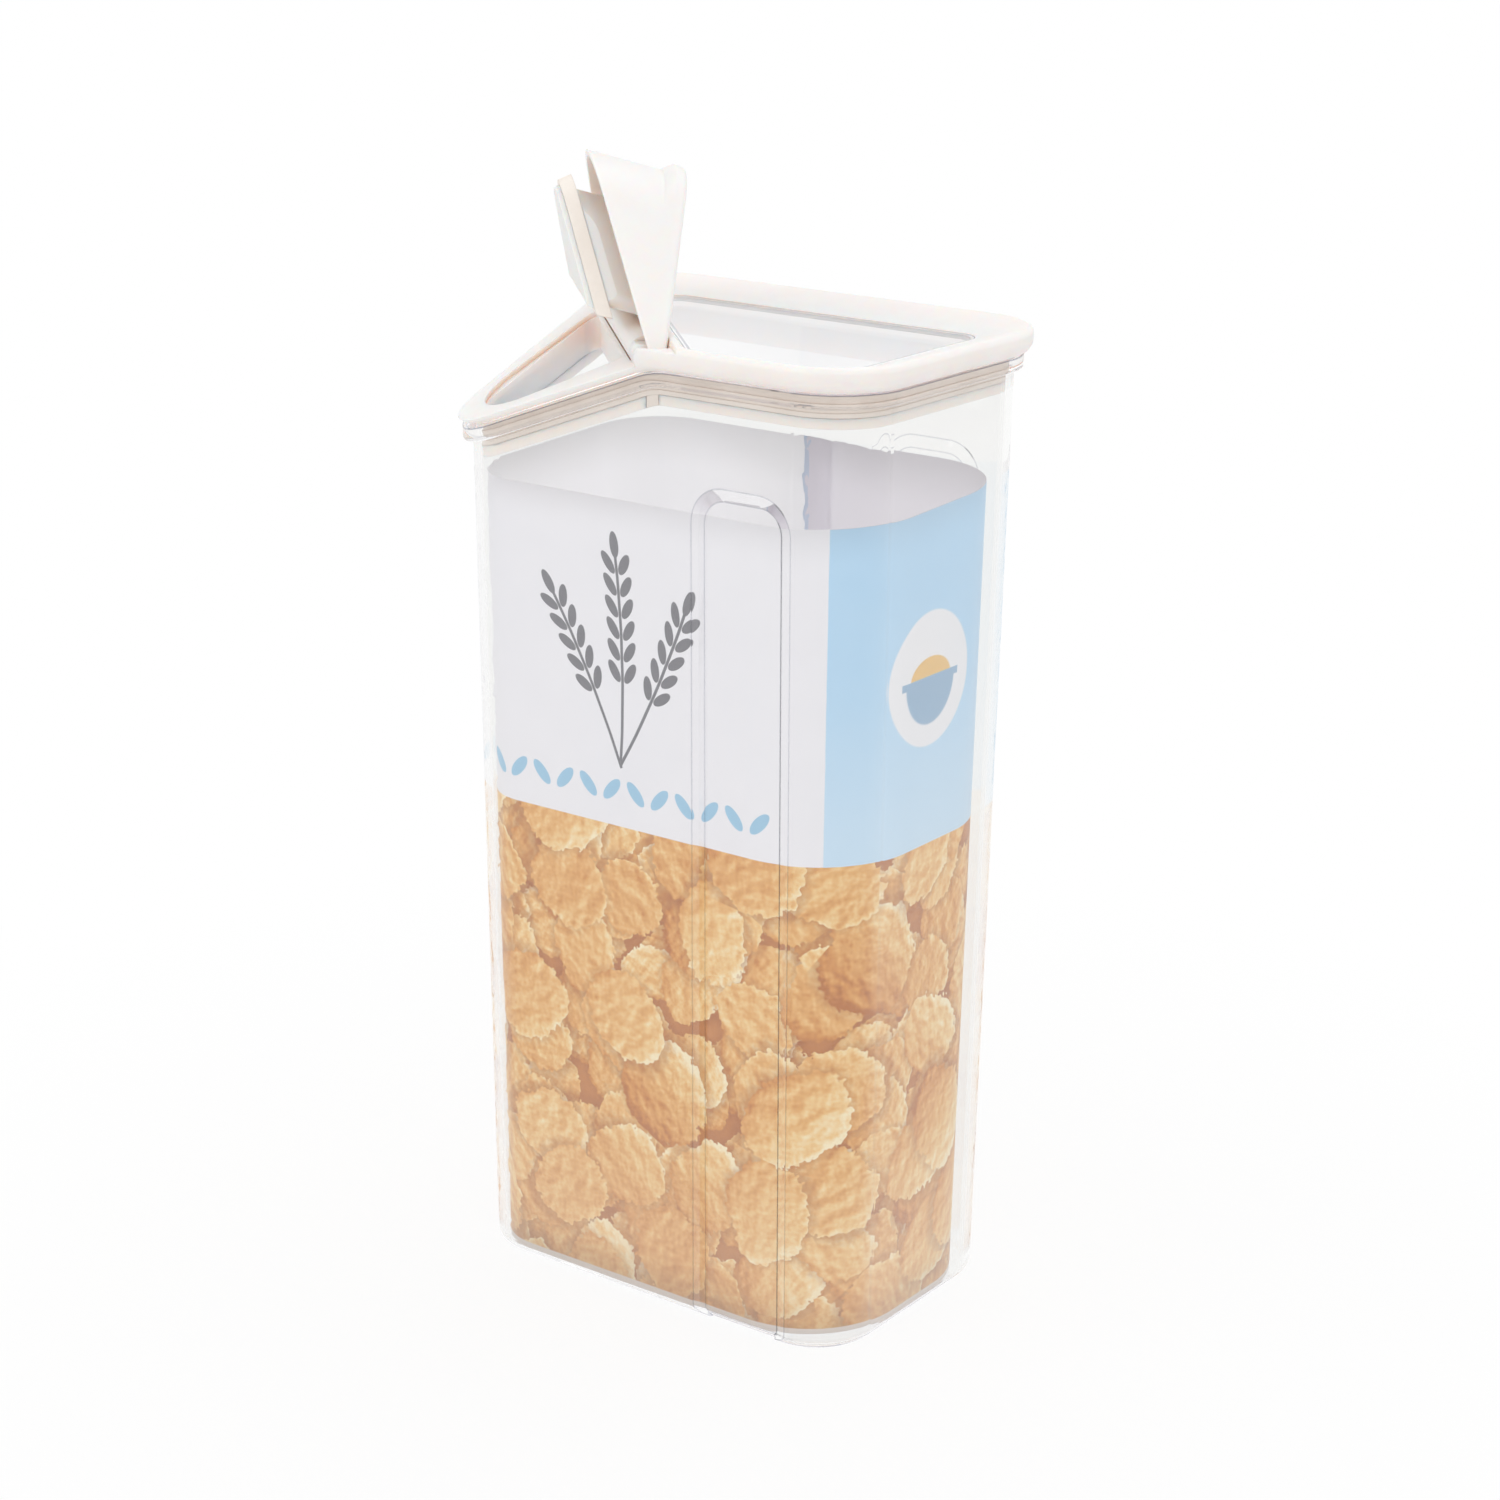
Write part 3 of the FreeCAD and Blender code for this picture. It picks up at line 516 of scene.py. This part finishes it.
def roll_card():
    """The strip as a mesh: columns along the outline, rows up the leaning wall."""
    run_in = CARD_LEAN * (card_high.z - card_low.z)
    tops = card_outline(card_high.x, card_high.y)
    feet = card_outline(card_high.x - run_in, card_high.y - run_in)
    run = [0.0]
    for before, after in zip(tops, tops[1:]):
        run.append(run[-1] + (after - before).length)
    middle = next(
        run[i] + (0.0 - tops[i].x) * (run[i + 1] - run[i]) / (tops[i + 1].x - tops[i].x)
        for i in range(len(tops) - 1)
        if tops[i].y < 0.0 and tops[i].x <= 0.0 < tops[i + 1].x
    )
    corners, places, faces = [], [], []
    for foot, top, length in zip(feet, tops, run):
        top_z = card_high.z - CARD_SLOPE * (card_high.y - top.y)
        for row in range(CARD_ROWS + 1):
            z = card_low.z + (top_z - card_low.z) * row / CARD_ROWS
            spot = foot.lerp(top, (z - card_low.z) / (card_high.z - card_low.z))
            corners.append((spot.x, spot.y, z))
            places.append((length / run[-1], z / card_high.z))
    for column in range(len(tops) - 1):
        for row in range(CARD_ROWS):
            first = column * (CARD_ROWS + 1) + row
            second = first + CARD_ROWS + 1
            faces.append((first, second, second + 1, first + 1))
    mesh = bpy.data.meshes.new("printed_card")
    mesh.from_pydata(corners, [], faces)
    sheet = mesh.uv_layers.new(name="flat_sheet")
    for loop in mesh.loops:
        sheet.data[loop.index].uv = places[loop.vertex_index]
    mesh.polygons.foreach_set("use_smooth", [True] * len(faces))
    card = bpy.data.objects.new("printed_card", mesh)
    bpy.context.collection.objects.link(card)
    paper = card.modifiers.new("paper", "SOLIDIFY")
    paper.thickness = CARD_THICK
    paper.offset = -1.0
    paper.material_offset = 1
    paper.material_offset_rim = 1
    return card, run[-1] / MM, middle / MM


card, CARD_LENGTH, CARD_MIDDLE = roll_card()
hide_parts("display_card")
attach(card, "container")
print("card strip", round(CARD_LENGTH, 1), "mm long, front middle at", round(CARD_MIDDLE, 1))

# %% [markdown]
# The card's lower half is a picture of golden corn flakes.  Each flake sits on one seed of a
# Voronoi pattern, which gives it a size, a turn and a tilt of its own.  Its rim is crimped, its
# blisters are lit from the upper left, and it drops a soft shadow on what lies below.  The flake
# is a node group that takes the picture so far and hands it on with one more flake laid over it.

# %% One flake
flake, source, target = start_group(
    "One flake",
    [
        ("Below", "Color", tint(120, 66, 24)),
        ("Spot", "Vector", None),
        ("Crimp", "Vector", None),
        ("Seed", "Vector", None),
        ("Chance", "Color", None),
        ("Fill", "Float", 1.0),
    ],
    [("Picture", "Color")],
)
LIGHT = (-0.55, 0.83, 0.0)
LIGHT_STEP = 0.045
FULL_TURN = 6.283
SKINS_APART = 40.0
BLISTER_SCALE = 5.5
GRAIN_SCALE = 34.0
DROP = (0.02, 0.05, 0.0)
chance_a, chance_b, chance_c = flake.split(source["Chance"])
offset = flake.along("SUBTRACT", source["Spot"], source["Seed"])
spin = flake.calc("MULTIPLY", chance_a, FULL_TURN)
spun = flake.turn(flake.along("ADD", offset, source["Crimp"]), spin)
slim = flake.calc("MULTIPLY_ADD", chance_b, 0.4, 1.0)
oval = flake.along("MULTIPLY", spun, flake.join(slim, 1.0))
size = flake.calc("MULTIPLY_ADD", chance_c, 0.16, 0.46)
out = flake.calc("DIVIDE", flake.along("LENGTH", oval), size)
draw = flake.calc("FRACT", flake.calc("MULTIPLY", chance_b, 7.3))
present = flake.calc("LESS_THAN", draw, source["Fill"])
cover = flake.calc("MULTIPLY", flake.fade(out, 0.975, 1.0, 1.0, 0.0), present)

own_depth = flake.calc("MULTIPLY", chance_a, SKINS_APART)
own_skin = flake.along("ADD", source["Spot"], flake.join(0.0, 0.0, own_depth))
lit_skin = flake.along("ADD", own_skin, tuple(LIGHT_STEP * value for value in LIGHT))
here, towards_light = (flake.noise(spot, BLISTER_SCALE) for spot in (own_skin, lit_skin))
blister = flake.calc("SUBTRACT", here, towards_light)
grain = flake.calc("SUBTRACT", flake.noise(own_skin, GRAIN_SCALE, 1.0), 0.5)
facing = flake.along("DOT_PRODUCT", offset, LIGHT)
lean = flake.calc("MULTIPLY", facing, flake.calc("MULTIPLY_ADD", chance_c, 0.9, -0.2))
rim = flake.fade(out, 0.78, 1.0)
rim_light = flake.calc("MULTIPLY", rim, flake.calc("MULTIPLY_ADD", facing, 0.5, 0.06))
tone = flake.calc("MULTIPLY_ADD", blister, 1.25, 0.53)
tone = flake.calc("MULTIPLY_ADD", grain, 0.22, tone)
tone = flake.calc("ADD", tone, flake.calc("MULTIPLY", lean, 0.8))
tone = flake.calc("ADD", tone, rim_light)
tone = flake.calc("ADD", tone, flake.calc("MULTIPLY_ADD", chance_b, 0.22, -0.11))
toast = flake.node("ValToRGB", {"Fac": tone})
ramp = toast.color_ramp
ramp.elements[0].color = tint(190, 112, 40)
ramp.elements[1].color = tint(255, 238, 200)
for stop, shade in (
    (0.25, tint(218, 146, 68)),
    (0.5, tint(236, 179, 106)),
    (0.72, tint(247, 208, 144)),
):
    ramp.elements.new(stop).color = shade
drop = flake.along("LENGTH", flake.along("ADD", oval, DROP))
shadow = flake.fade(flake.calc("DIVIDE", drop, size), 0.9, 1.3, 0.5, 0.0)
shadow = flake.calc("MULTIPLY", shadow, present)
dark = flake.blend(shadow, source["Below"], tint(172, 98, 40))
flake.plug(target["Picture"], flake.blend(cover, dark, toast.outputs["Color"]))
print("one flake:", len(flake.tree.nodes), "nodes")

# %% [markdown]
# A layer of flakes draws the two nearest seeds at every point, the lower one first, so flakes
# truly overlap instead of ending at the borders of their cells.  A few layers make a heap.

# %% A layer of flakes
layers, source, target = start_group(
    "Flake layer",
    [
        ("Place", "Vector", None),
        ("Below", "Color", tint(202, 130, 64)),
        ("Cell", "Float", 30.0),
        ("Turn", "Float", 0.0),
        ("Shift", "Vector", None),
        ("Fill", "Float", 1.0),
    ],
    [("Picture", "Color")],
)
SWAY = (0.22, 0.22, 0.0)
CRIMP = (0.15, 0.15, 0.0)
turned = layers.turn(layers.along("ADD", source["Place"], source["Shift"]), source["Turn"])
spot = layers.along("DIVIDE", turned, layers.join(source["Cell"], source["Cell"], 1.0))
middle = (0.5, 0.5, 0.5)
sway = layers.node("TexNoise", {"Vector": spot, "Scale": 2.2, "Detail": 1.0}).outputs["Color"]
crimp = layers.node("TexNoise", {"Vector": spot, "Scale": 15.0, "Detail": 1.0}).outputs["Color"]
wobble = layers.along("MULTIPLY", layers.along("SUBTRACT", sway, middle), SWAY)
wobble = layers.along("MULTIPLY_ADD", layers.along("SUBTRACT", crimp, middle), CRIMP, wobble)
seeds = []
for feature in ("F1", "F2"):
    cells = layers.node("TexVoronoi", {
        "Vector": spot,
        "Scale": 1.0,
        "Randomness": 0.8,
    }, voronoi_dimensions="2D", feature=feature)
    order = layers.split(cells.outputs["Color"])[2]
    seeds.append((cells.outputs["Position"], cells.outputs["Color"], order))
swap = layers.calc("GREATER_THAN", seeds[0][2], seeds[1][2])
picture = source["Below"]
for near, far in ((0, 1), (1, 0)):
    picture = layers.group(
        flake.tree,
        Below=picture,
        Spot=spot,
        Crimp=wobble,
        Seed=layers.blend(swap, seeds[near][0], seeds[far][0]),
        Chance=layers.blend(swap, seeds[near][1], seeds[far][1]),
        Fill=source["Fill"],
    )["Picture"]
layers.plug(target["Picture"], picture)
print("flake layer:", len(layers.tree.nodes), "nodes")

# %% [markdown]
# Above the flakes the sheet is plain white with a pale blue panel that wraps the right corner.
# The graphics are stock ones: ears of grain, a row of seeds and a bowl.  A grain ear is a ladder
# of leaf shapes: folding the sheet at the stem and repeating it up the stem means that one leaf
# is drawn once and appears a dozen times.

# %% Ears of grain for the print
ears, source, target = start_group(
    "Grain ear",
    [
        ("Place", "Vector", None),
        ("Foot", "Vector", None),
        ("Lean", "Float", 0.0),
        ("Rows", "Float", 6.0),
        ("Pitch", "Float", 6.4),
    ],
    [("Mask", "Float")],
)
EAR_BOW = 0.0016
LEAF_OUT = 2.9
LEAF_TURN = math.radians(32.0)
LEAF_SHAPE = (1.0 / 1.55, 1.0 / 3.6, 0.0)
TIP_SHAPE = (1.6, 3.9)
TIP_RAISE = 0.35
STEM_FOOT = -24.0
rows, pitch = source["Rows"], source["Pitch"]
grown = ears.turn(ears.along("SUBTRACT", source["Place"], source["Foot"]), source["Lean"])
aside, up, _ = ears.split(grown)
aside = ears.calc("MULTIPLY_ADD", ears.calc("MULTIPLY", up, up), EAR_BOW, aside)
folded = ears.calc("ABSOLUTE", aside)
rung = ears.calc("DIVIDE", up, pitch)
step_up = ears.calc("MULTIPLY", ears.calc("SUBTRACT", ears.calc("FRACT", rung), 0.5), pitch)
leaf = ears.turn(ears.join(ears.calc("SUBTRACT", folded, LEAF_OUT), step_up), LEAF_TURN)
leaf_size = ears.along("LENGTH", ears.along("MULTIPLY", leaf, LEAF_SHAPE))
under_tip = ears.calc("LESS_THAN", rung, rows)
in_rows = ears.calc("MULTIPLY", ears.calc("GREATER_THAN", rung, 0.0), under_tip)
leaves = ears.calc("MULTIPLY", ears.fade(leaf_size, 0.94, 1.04, 1.0, 0.0), in_rows)
tip_height = ears.calc("MULTIPLY", ears.calc("ADD", rows, TIP_RAISE), pitch)
tip_aside = ears.calc("DIVIDE", aside, TIP_SHAPE[0])
tip_up = ears.calc("DIVIDE", ears.calc("SUBTRACT", up, tip_height), TIP_SHAPE[1])
tip = ears.fade(ears.along("LENGTH", ears.join(tip_aside, tip_up)), 0.94, 1.04, 1.0, 0.0)
on_stem = ears.calc("MULTIPLY", ears.calc("GREATER_THAN", up, STEM_FOOT), under_tip)
stem = ears.calc("MULTIPLY", ears.fade(folded, 0.4, 0.6, 1.0, 0.0), on_stem)
ears.plug(target["Mask"], ears.calc("MAXIMUM", ears.calc("MAXIMUM", leaves, tip), stem))
print("grain ear:", len(ears.tree.nodes), "nodes")

# %% [markdown]
# Paper shows its fibres when light grazes it, and coated print is glossier than the bare inside.
# The same fibre group serves both sides of the card.

# %% Card fibre
fibre, source, target = start_group(
    "Card fibre",
    [("Place", "Vector", None), ("Smooth", "Float", 0.35), ("Rough", "Float", 0.5)],
    [("Fibre", "Float"), ("Roughness", "Float"), ("Height", "Float")],
)
strand = fibre.noise(fibre.along("MULTIPLY", source["Place"], (0.6, 2.4, 1.0)), 1.1, 3.0, 0.65)
cloud = fibre.noise(source["Place"], 0.05, 2.0)
fibre.plug(target["Fibre"], fibre.calc("MULTIPLY_ADD", cloud, 0.6, fibre.calc("MULTIPLY", strand, 0.4)))
fibre.plug(target["Height"], fibre.calc("MULTIPLY_ADD", cloud, 3.0, strand))
fibre.plug(target["Roughness"], fibre.node("MapRange", {
    "Value": strand,
    "From Min": 0.3,
    "From Max": 0.7,
    "To Min": source["Smooth"],
    "To Max": source["Rough"],
}).outputs["Result"])
print("card fibre:", len(fibre.tree.nodes), "nodes")

# %% [markdown]
# Now the print itself, in millimetres on the flat sheet: u runs along the card from the middle of
# the front, v is the height over the table.  Each zone is a mask between two lines, and the
# picture is built up from the paper, as a printer lays one ink over another.

# %% Print the card
FLAKE_TOP = 150.0
PANEL_START = 60.3
FOOT_MARGIN = 4.0
INK_EDGE = 0.12
FIBRE_DISTANCE = 0.1 * MM


def sheet_place(bench):
    """Millimetres along the flat sheet from the front's middle, and up it from the table."""
    sheet_u, sheet_v, _ = bench.split(bench.node("UVMap", uv_map="flat_sheet").outputs[0])
    u = bench.calc("SUBTRACT", bench.calc("MULTIPLY", sheet_u, CARD_LENGTH), CARD_MIDDLE)
    return u, bench.calc("MULTIPLY", sheet_v, card_high.z / MM)


printed, bench, shader, surface = start_material("printed_card")
u, v = sheet_place(bench)
place = bench.join(u, v)
paper = bench.group(fibre.tree, Place=place, Smooth=0.34, Rough=0.5)


def past(value, line, low=0.0, high=1.0):
    """Mask with an ink's soft edge: low before the line, high after it."""
    return bench.fade(value, line - INK_EDGE, line + INK_EDGE, low, high)


def between(value, low, high):
    return bench.calc("MULTIPLY", past(value, low), past(value, high, 1.0, 0.0))


def disc(centre_u, centre_v, half_u, half_v, soft=0.04):
    away = bench.along("SUBTRACT", place, (centre_u, centre_v, 0.0))
    away = bench.along("MULTIPLY", away, (1.0 / half_u, 1.0 / half_v, 0.0))
    return bench.fade(bench.along("LENGTH", away), 1.0 - soft, 1.0 + soft, 1.0, 0.0)


white_ink = bench.blend(paper["Fibre"], tint(240, 239, 245), tint(247, 246, 251))
blue_ink = bench.blend(paper["Fibre"], tint(175, 216, 247), tint(191, 225, 251))
blue_ink = bench.blend(bench.fade(v, 150.0, 215.0, 0.6, 0.0), blue_ink, tint(214, 235, 252))
grey_ink = tint(118, 117, 124)
picture = bench.blend(past(u, PANEL_START), white_ink, blue_ink)

ear_mask = None
for foot_u, foot_v, lean, rows in (
    (-18.5, 190.0, -0.46, 5.0),
    (-8.0, 194.0, 0.0, 6.0),
    (2.5, 190.0, 0.46, 5.0),
):
    ear = bench.group(ears.tree, Place=place, Foot=(foot_u, foot_v, 0.0), Lean=lean, Rows=rows)
    ear_mask = ear["Mask"] if ear_mask is None else bench.calc("MAXIMUM", ear_mask, ear["Mask"])
picture = bench.blend(ear_mask, picture, grey_ink)

SEED_PITCH = 9.0
SEED_START = 62.0
SEED_ROW = 161.0
SEED_TURN = 0.75
SEED_SHAPE = (1.0 / 1.9, 1.0 / 4.4, 0.0)
seed_step = bench.calc("DIVIDE", bench.calc("ADD", u, SEED_START), SEED_PITCH)
seed_u = bench.calc("SUBTRACT", bench.calc("FRACT", seed_step), 0.5)
seed_u = bench.calc("MULTIPLY", seed_u, SEED_PITCH)
odd = bench.calc("FLOORED_MODULO", bench.calc("FLOOR", seed_step), 2.0)
flip = bench.calc("MULTIPLY_ADD", odd, 2.0 * SEED_TURN, -SEED_TURN)
seed = bench.turn(bench.join(seed_u, bench.calc("SUBTRACT", v, SEED_ROW)), flip)
seed_size = bench.along("LENGTH", bench.along("MULTIPLY", seed, SEED_SHAPE))
seeds = bench.fade(seed_size, 0.95, 1.03, 1.0, 0.0)
seeds = bench.calc("MULTIPLY", seeds, between(u, -179.0, 46.0))
picture = bench.blend(seeds, picture, tint(158, 203, 232))

MEDAL_U = 98.0
MEDAL_V = 200.0
BRIM_TOP = 200.8
medal = disc(MEDAL_U, MEDAL_V, 20.0, 20.0, 0.02)
bowl = bench.calc("MULTIPLY", disc(MEDAL_U, 199.0, 12.5, 12.5), between(v, 150.0, 199.0))
brim = bench.calc("MULTIPLY", between(u, 83.5, 112.5), between(v, 198.6, BRIM_TOP))
heap = bench.calc("MULTIPLY", disc(MEDAL_U, MEDAL_V, 10.5, 6.5), between(v, BRIM_TOP, 230.0))
picture = bench.blend(medal, picture, tint(243, 243, 247))
picture = bench.blend(heap, picture, tint(240, 196, 120))
picture = bench.blend(bench.calc("MAXIMUM", bowl, brim), picture, tint(148, 182, 212))

heap_picture = None
for layer, (cell, turn, shift, fill) in enumerate((
    (23.0, 0.3, (11.0, 5.0, 0.0), 1.0),
    (26.0, 2.2, (93.0, 61.0, 0.0), 0.9),
    (28.0, 1.3, (57.0, 29.0, 0.0), 0.75),
    (31.0, 2.9, (131.0, 17.0, 0.0), 0.5),
)):
    inputs = {"Place": place, "Cell": cell, "Turn": turn, "Shift": shift, "Fill": fill}
    if layer:
        inputs["Below"] = heap_picture
    heap_picture = bench.group(layers.tree, **inputs)["Picture"]
# Painted light: the flakes are lightened towards the bottom of the card, where less light reaches it.
heap_picture = bench.blend(bench.fade(v, 8.0, 75.0, 0.16, 0.0), heap_picture, tint(255, 236, 214))
heap_picture = bench.blend(past(v, FOOT_MARGIN), tint(246, 236, 230), heap_picture)
picture = bench.blend(past(v, FLAKE_TOP, 1.0, 0.0), picture, heap_picture)

bench.plug(shader.inputs["Base Color"], picture)
bench.plug(shader.inputs["Roughness"], paper["Roughness"])
ripple = bench.node("Bump", {
    "Strength": 0.12,
    "Distance": FIBRE_DISTANCE,
    "Height": paper["Height"],
})
bench.plug(shader.inputs["Normal"], ripple.outputs["Normal"])
ray = bench.node("LightPath")
light_ray = bench.calc("MAXIMUM", ray.outputs["Is Shadow Ray"], ray.outputs["Is Diffuse Ray"])
behind = bench.calc("MULTIPLY", light_ray, bench.node("NewGeometry").outputs["Backfacing"])
through = bench.node("BsdfTransparent")
mix = bench.node("MixShader", {0: behind, 1: shader.outputs[0], 2: through.outputs[0]})
bench.plug(surface, mix.outputs[0])
card.data.materials.append(printed)
print("print:", len(printed.node_tree.nodes), "nodes")

# %% [markdown]
# Inside, the card is bare: a cool white board with clouds of fibre that lets some light through.
# Behind the blue panel the board's colour is painted darker, painted shade for the light that the
# blue ink holds back.  Where its ends lap, a strip of the blue print from the other end shows.

# %% The bare inside of the card
THROUGH_LIGHT = 0.6
STRIP_WIDTH = 2.0
bare, bench, shader, surface = start_material("bare_board")
u, v = sheet_place(bench)
board = bench.group(fibre.tree, Place=bench.join(u, v), Smooth=0.55, Rough=0.75)
lap_end = CARD_LENGTH - CARD_MIDDLE
strip = bench.fade(u, lap_end - STRIP_WIDTH, lap_end - STRIP_WIDTH + 0.2)
ground = bench.blend(board["Fibre"], tint(251, 250, 255), tint(255, 254, 255))
# Painted shade: behind the blue panel the board's colour is darker, seen and passed through.
ground = bench.blend(bench.fade(u, PANEL_START, PANEL_START + 0.4), ground, tint(233, 229, 236))
bench.plug(shader.inputs["Base Color"], bench.blend(strip, ground, tint(168, 205, 238)))
bench.plug(shader.inputs["Roughness"], board["Roughness"])
ripple = bench.node("Bump", {
    "Strength": 0.15,
    "Distance": FIBRE_DISTANCE,
    "Height": board["Height"],
})
bench.plug(shader.inputs["Normal"], ripple.outputs["Normal"])
soak = bench.node("BsdfTranslucent", {"Color": ground})
mix = bench.node("MixShader", {0: THROUGH_LIGHT, 1: shader.outputs[0], 2: soak.outputs[0]})
bench.plug(surface, mix.outputs[0])
card.data.materials.append(bare)
print("card sides:", [material.name for material in card.data.materials])

# %% [markdown]
# The studio is a white sweep.  Its floor has to look white to the camera and in the clear plastic
# and still keep the object's shadow, so most of its white is its own glow for those rays and the
# rest is a plain matt floor that the lamps light.

# %% Floor
SEEN_GLOW = 0.9
GLOW_NEAR = 0.1
GLOW_FAR = 0.4
FLOOR_HALF = 3.0
FLOOR_LEVEL = -0.0002
floor_mesh = bpy.data.meshes.new("studio_floor")
floor_corners = [
    (side_x * FLOOR_HALF, side_y * FLOOR_HALF, FLOOR_LEVEL)
    for side_x, side_y in ((-1.0, -1.0), (1.0, -1.0), (1.0, 1.0), (-1.0, 1.0))
]
floor_mesh.from_pydata(floor_corners, [], [(0, 1, 2, 3)])
floor = bpy.data.objects.new("studio_floor", floor_mesh)
bpy.context.collection.objects.link(floor)
sweep, bench, shader, surface = start_material("white_sweep")
shader.inputs["Base Color"].default_value = tint(245, 245, 245)
shader.inputs["Roughness"].default_value = 0.9
ray = bench.node("LightPath")
mirrored = bench.calc("MAXIMUM", ray.outputs["Is Glossy Ray"], ray.outputs["Is Transmission Ray"])
distance = bench.along("LENGTH", bench.node("NewGeometry").outputs["Position"])
near_glow = bench.fade(distance, GLOW_NEAR, GLOW_FAR, SEEN_GLOW, 1.0)
amount = bench.calc("MAXIMUM", mirrored, bench.calc("MULTIPLY", ray.outputs["Is Camera Ray"], near_glow))
glow = bench.node("Emission")
mix = bench.node("MixShader", {0: amount, 1: shader.outputs[0], 2: glow.outputs[0]})
bench.plug(surface, mix.outputs[0])
floor_mesh.materials.append(sweep)
print("floor at", floor_mesh.vertices[0].co.z, "m")

# %% [markdown]
# The light is soft and nearly even: a white room, with a large lamp to the front left, a weaker
# one to the right and one above and behind.  The room looks white to the camera and in
# reflections, and lights the object at a plain level.

# %% Room and lamps
ROOM_LIGHT = 0.7
room = bpy.data.worlds.new("white_room")
room.use_nodes = True
bpy.context.scene.world = room
bench = NodeBench(room.node_tree)
ray = bench.node("LightPath")
seen = bench.calc("MAXIMUM", ray.outputs["Is Camera Ray"], ray.outputs["Is Glossy Ray"])
seen = bench.calc("MAXIMUM", seen, ray.outputs["Is Transmission Ray"])
glow = room.node_tree.nodes["Background"]
glow.inputs["Color"].default_value = (1.0, 1.0, 1.0, 1.0)
strength = bench.node("MapRange", {"Value": seen, "To Min": ROOM_LIGHT, "To Max": 1.0})
bench.plug(glow.inputs["Strength"], strength.outputs["Result"])


def soft_lamp(title, place, size, power):
    data = bpy.data.lights.new(title, "AREA")
    data.shape = "RECTANGLE"
    data.size, data.size_y = size
    data.energy = power
    lamp = bpy.data.objects.new(title, data)
    lamp.location = place
    lamp.rotation_euler = (AIM - Vector(place)).to_track_quat("-Z", "Y").to_euler()
    bpy.context.collection.objects.link(lamp)
    return lamp


lamps = [
    soft_lamp("front_left_lamp", (-1.0, -1.1, 0.9), (1.2, 1.2), 4.6),
    soft_lamp("right_lamp", (1.15, -0.75, 0.6), (1.0, 1.2), 2.9),
    soft_lamp("top_lamp", (0.1, 0.5, 1.5), (1.4, 1.0), 5.0),
]
bpy.context.scene.view_settings.view_transform = "Standard"
print("lamps:", [lamp.name for lamp in lamps])
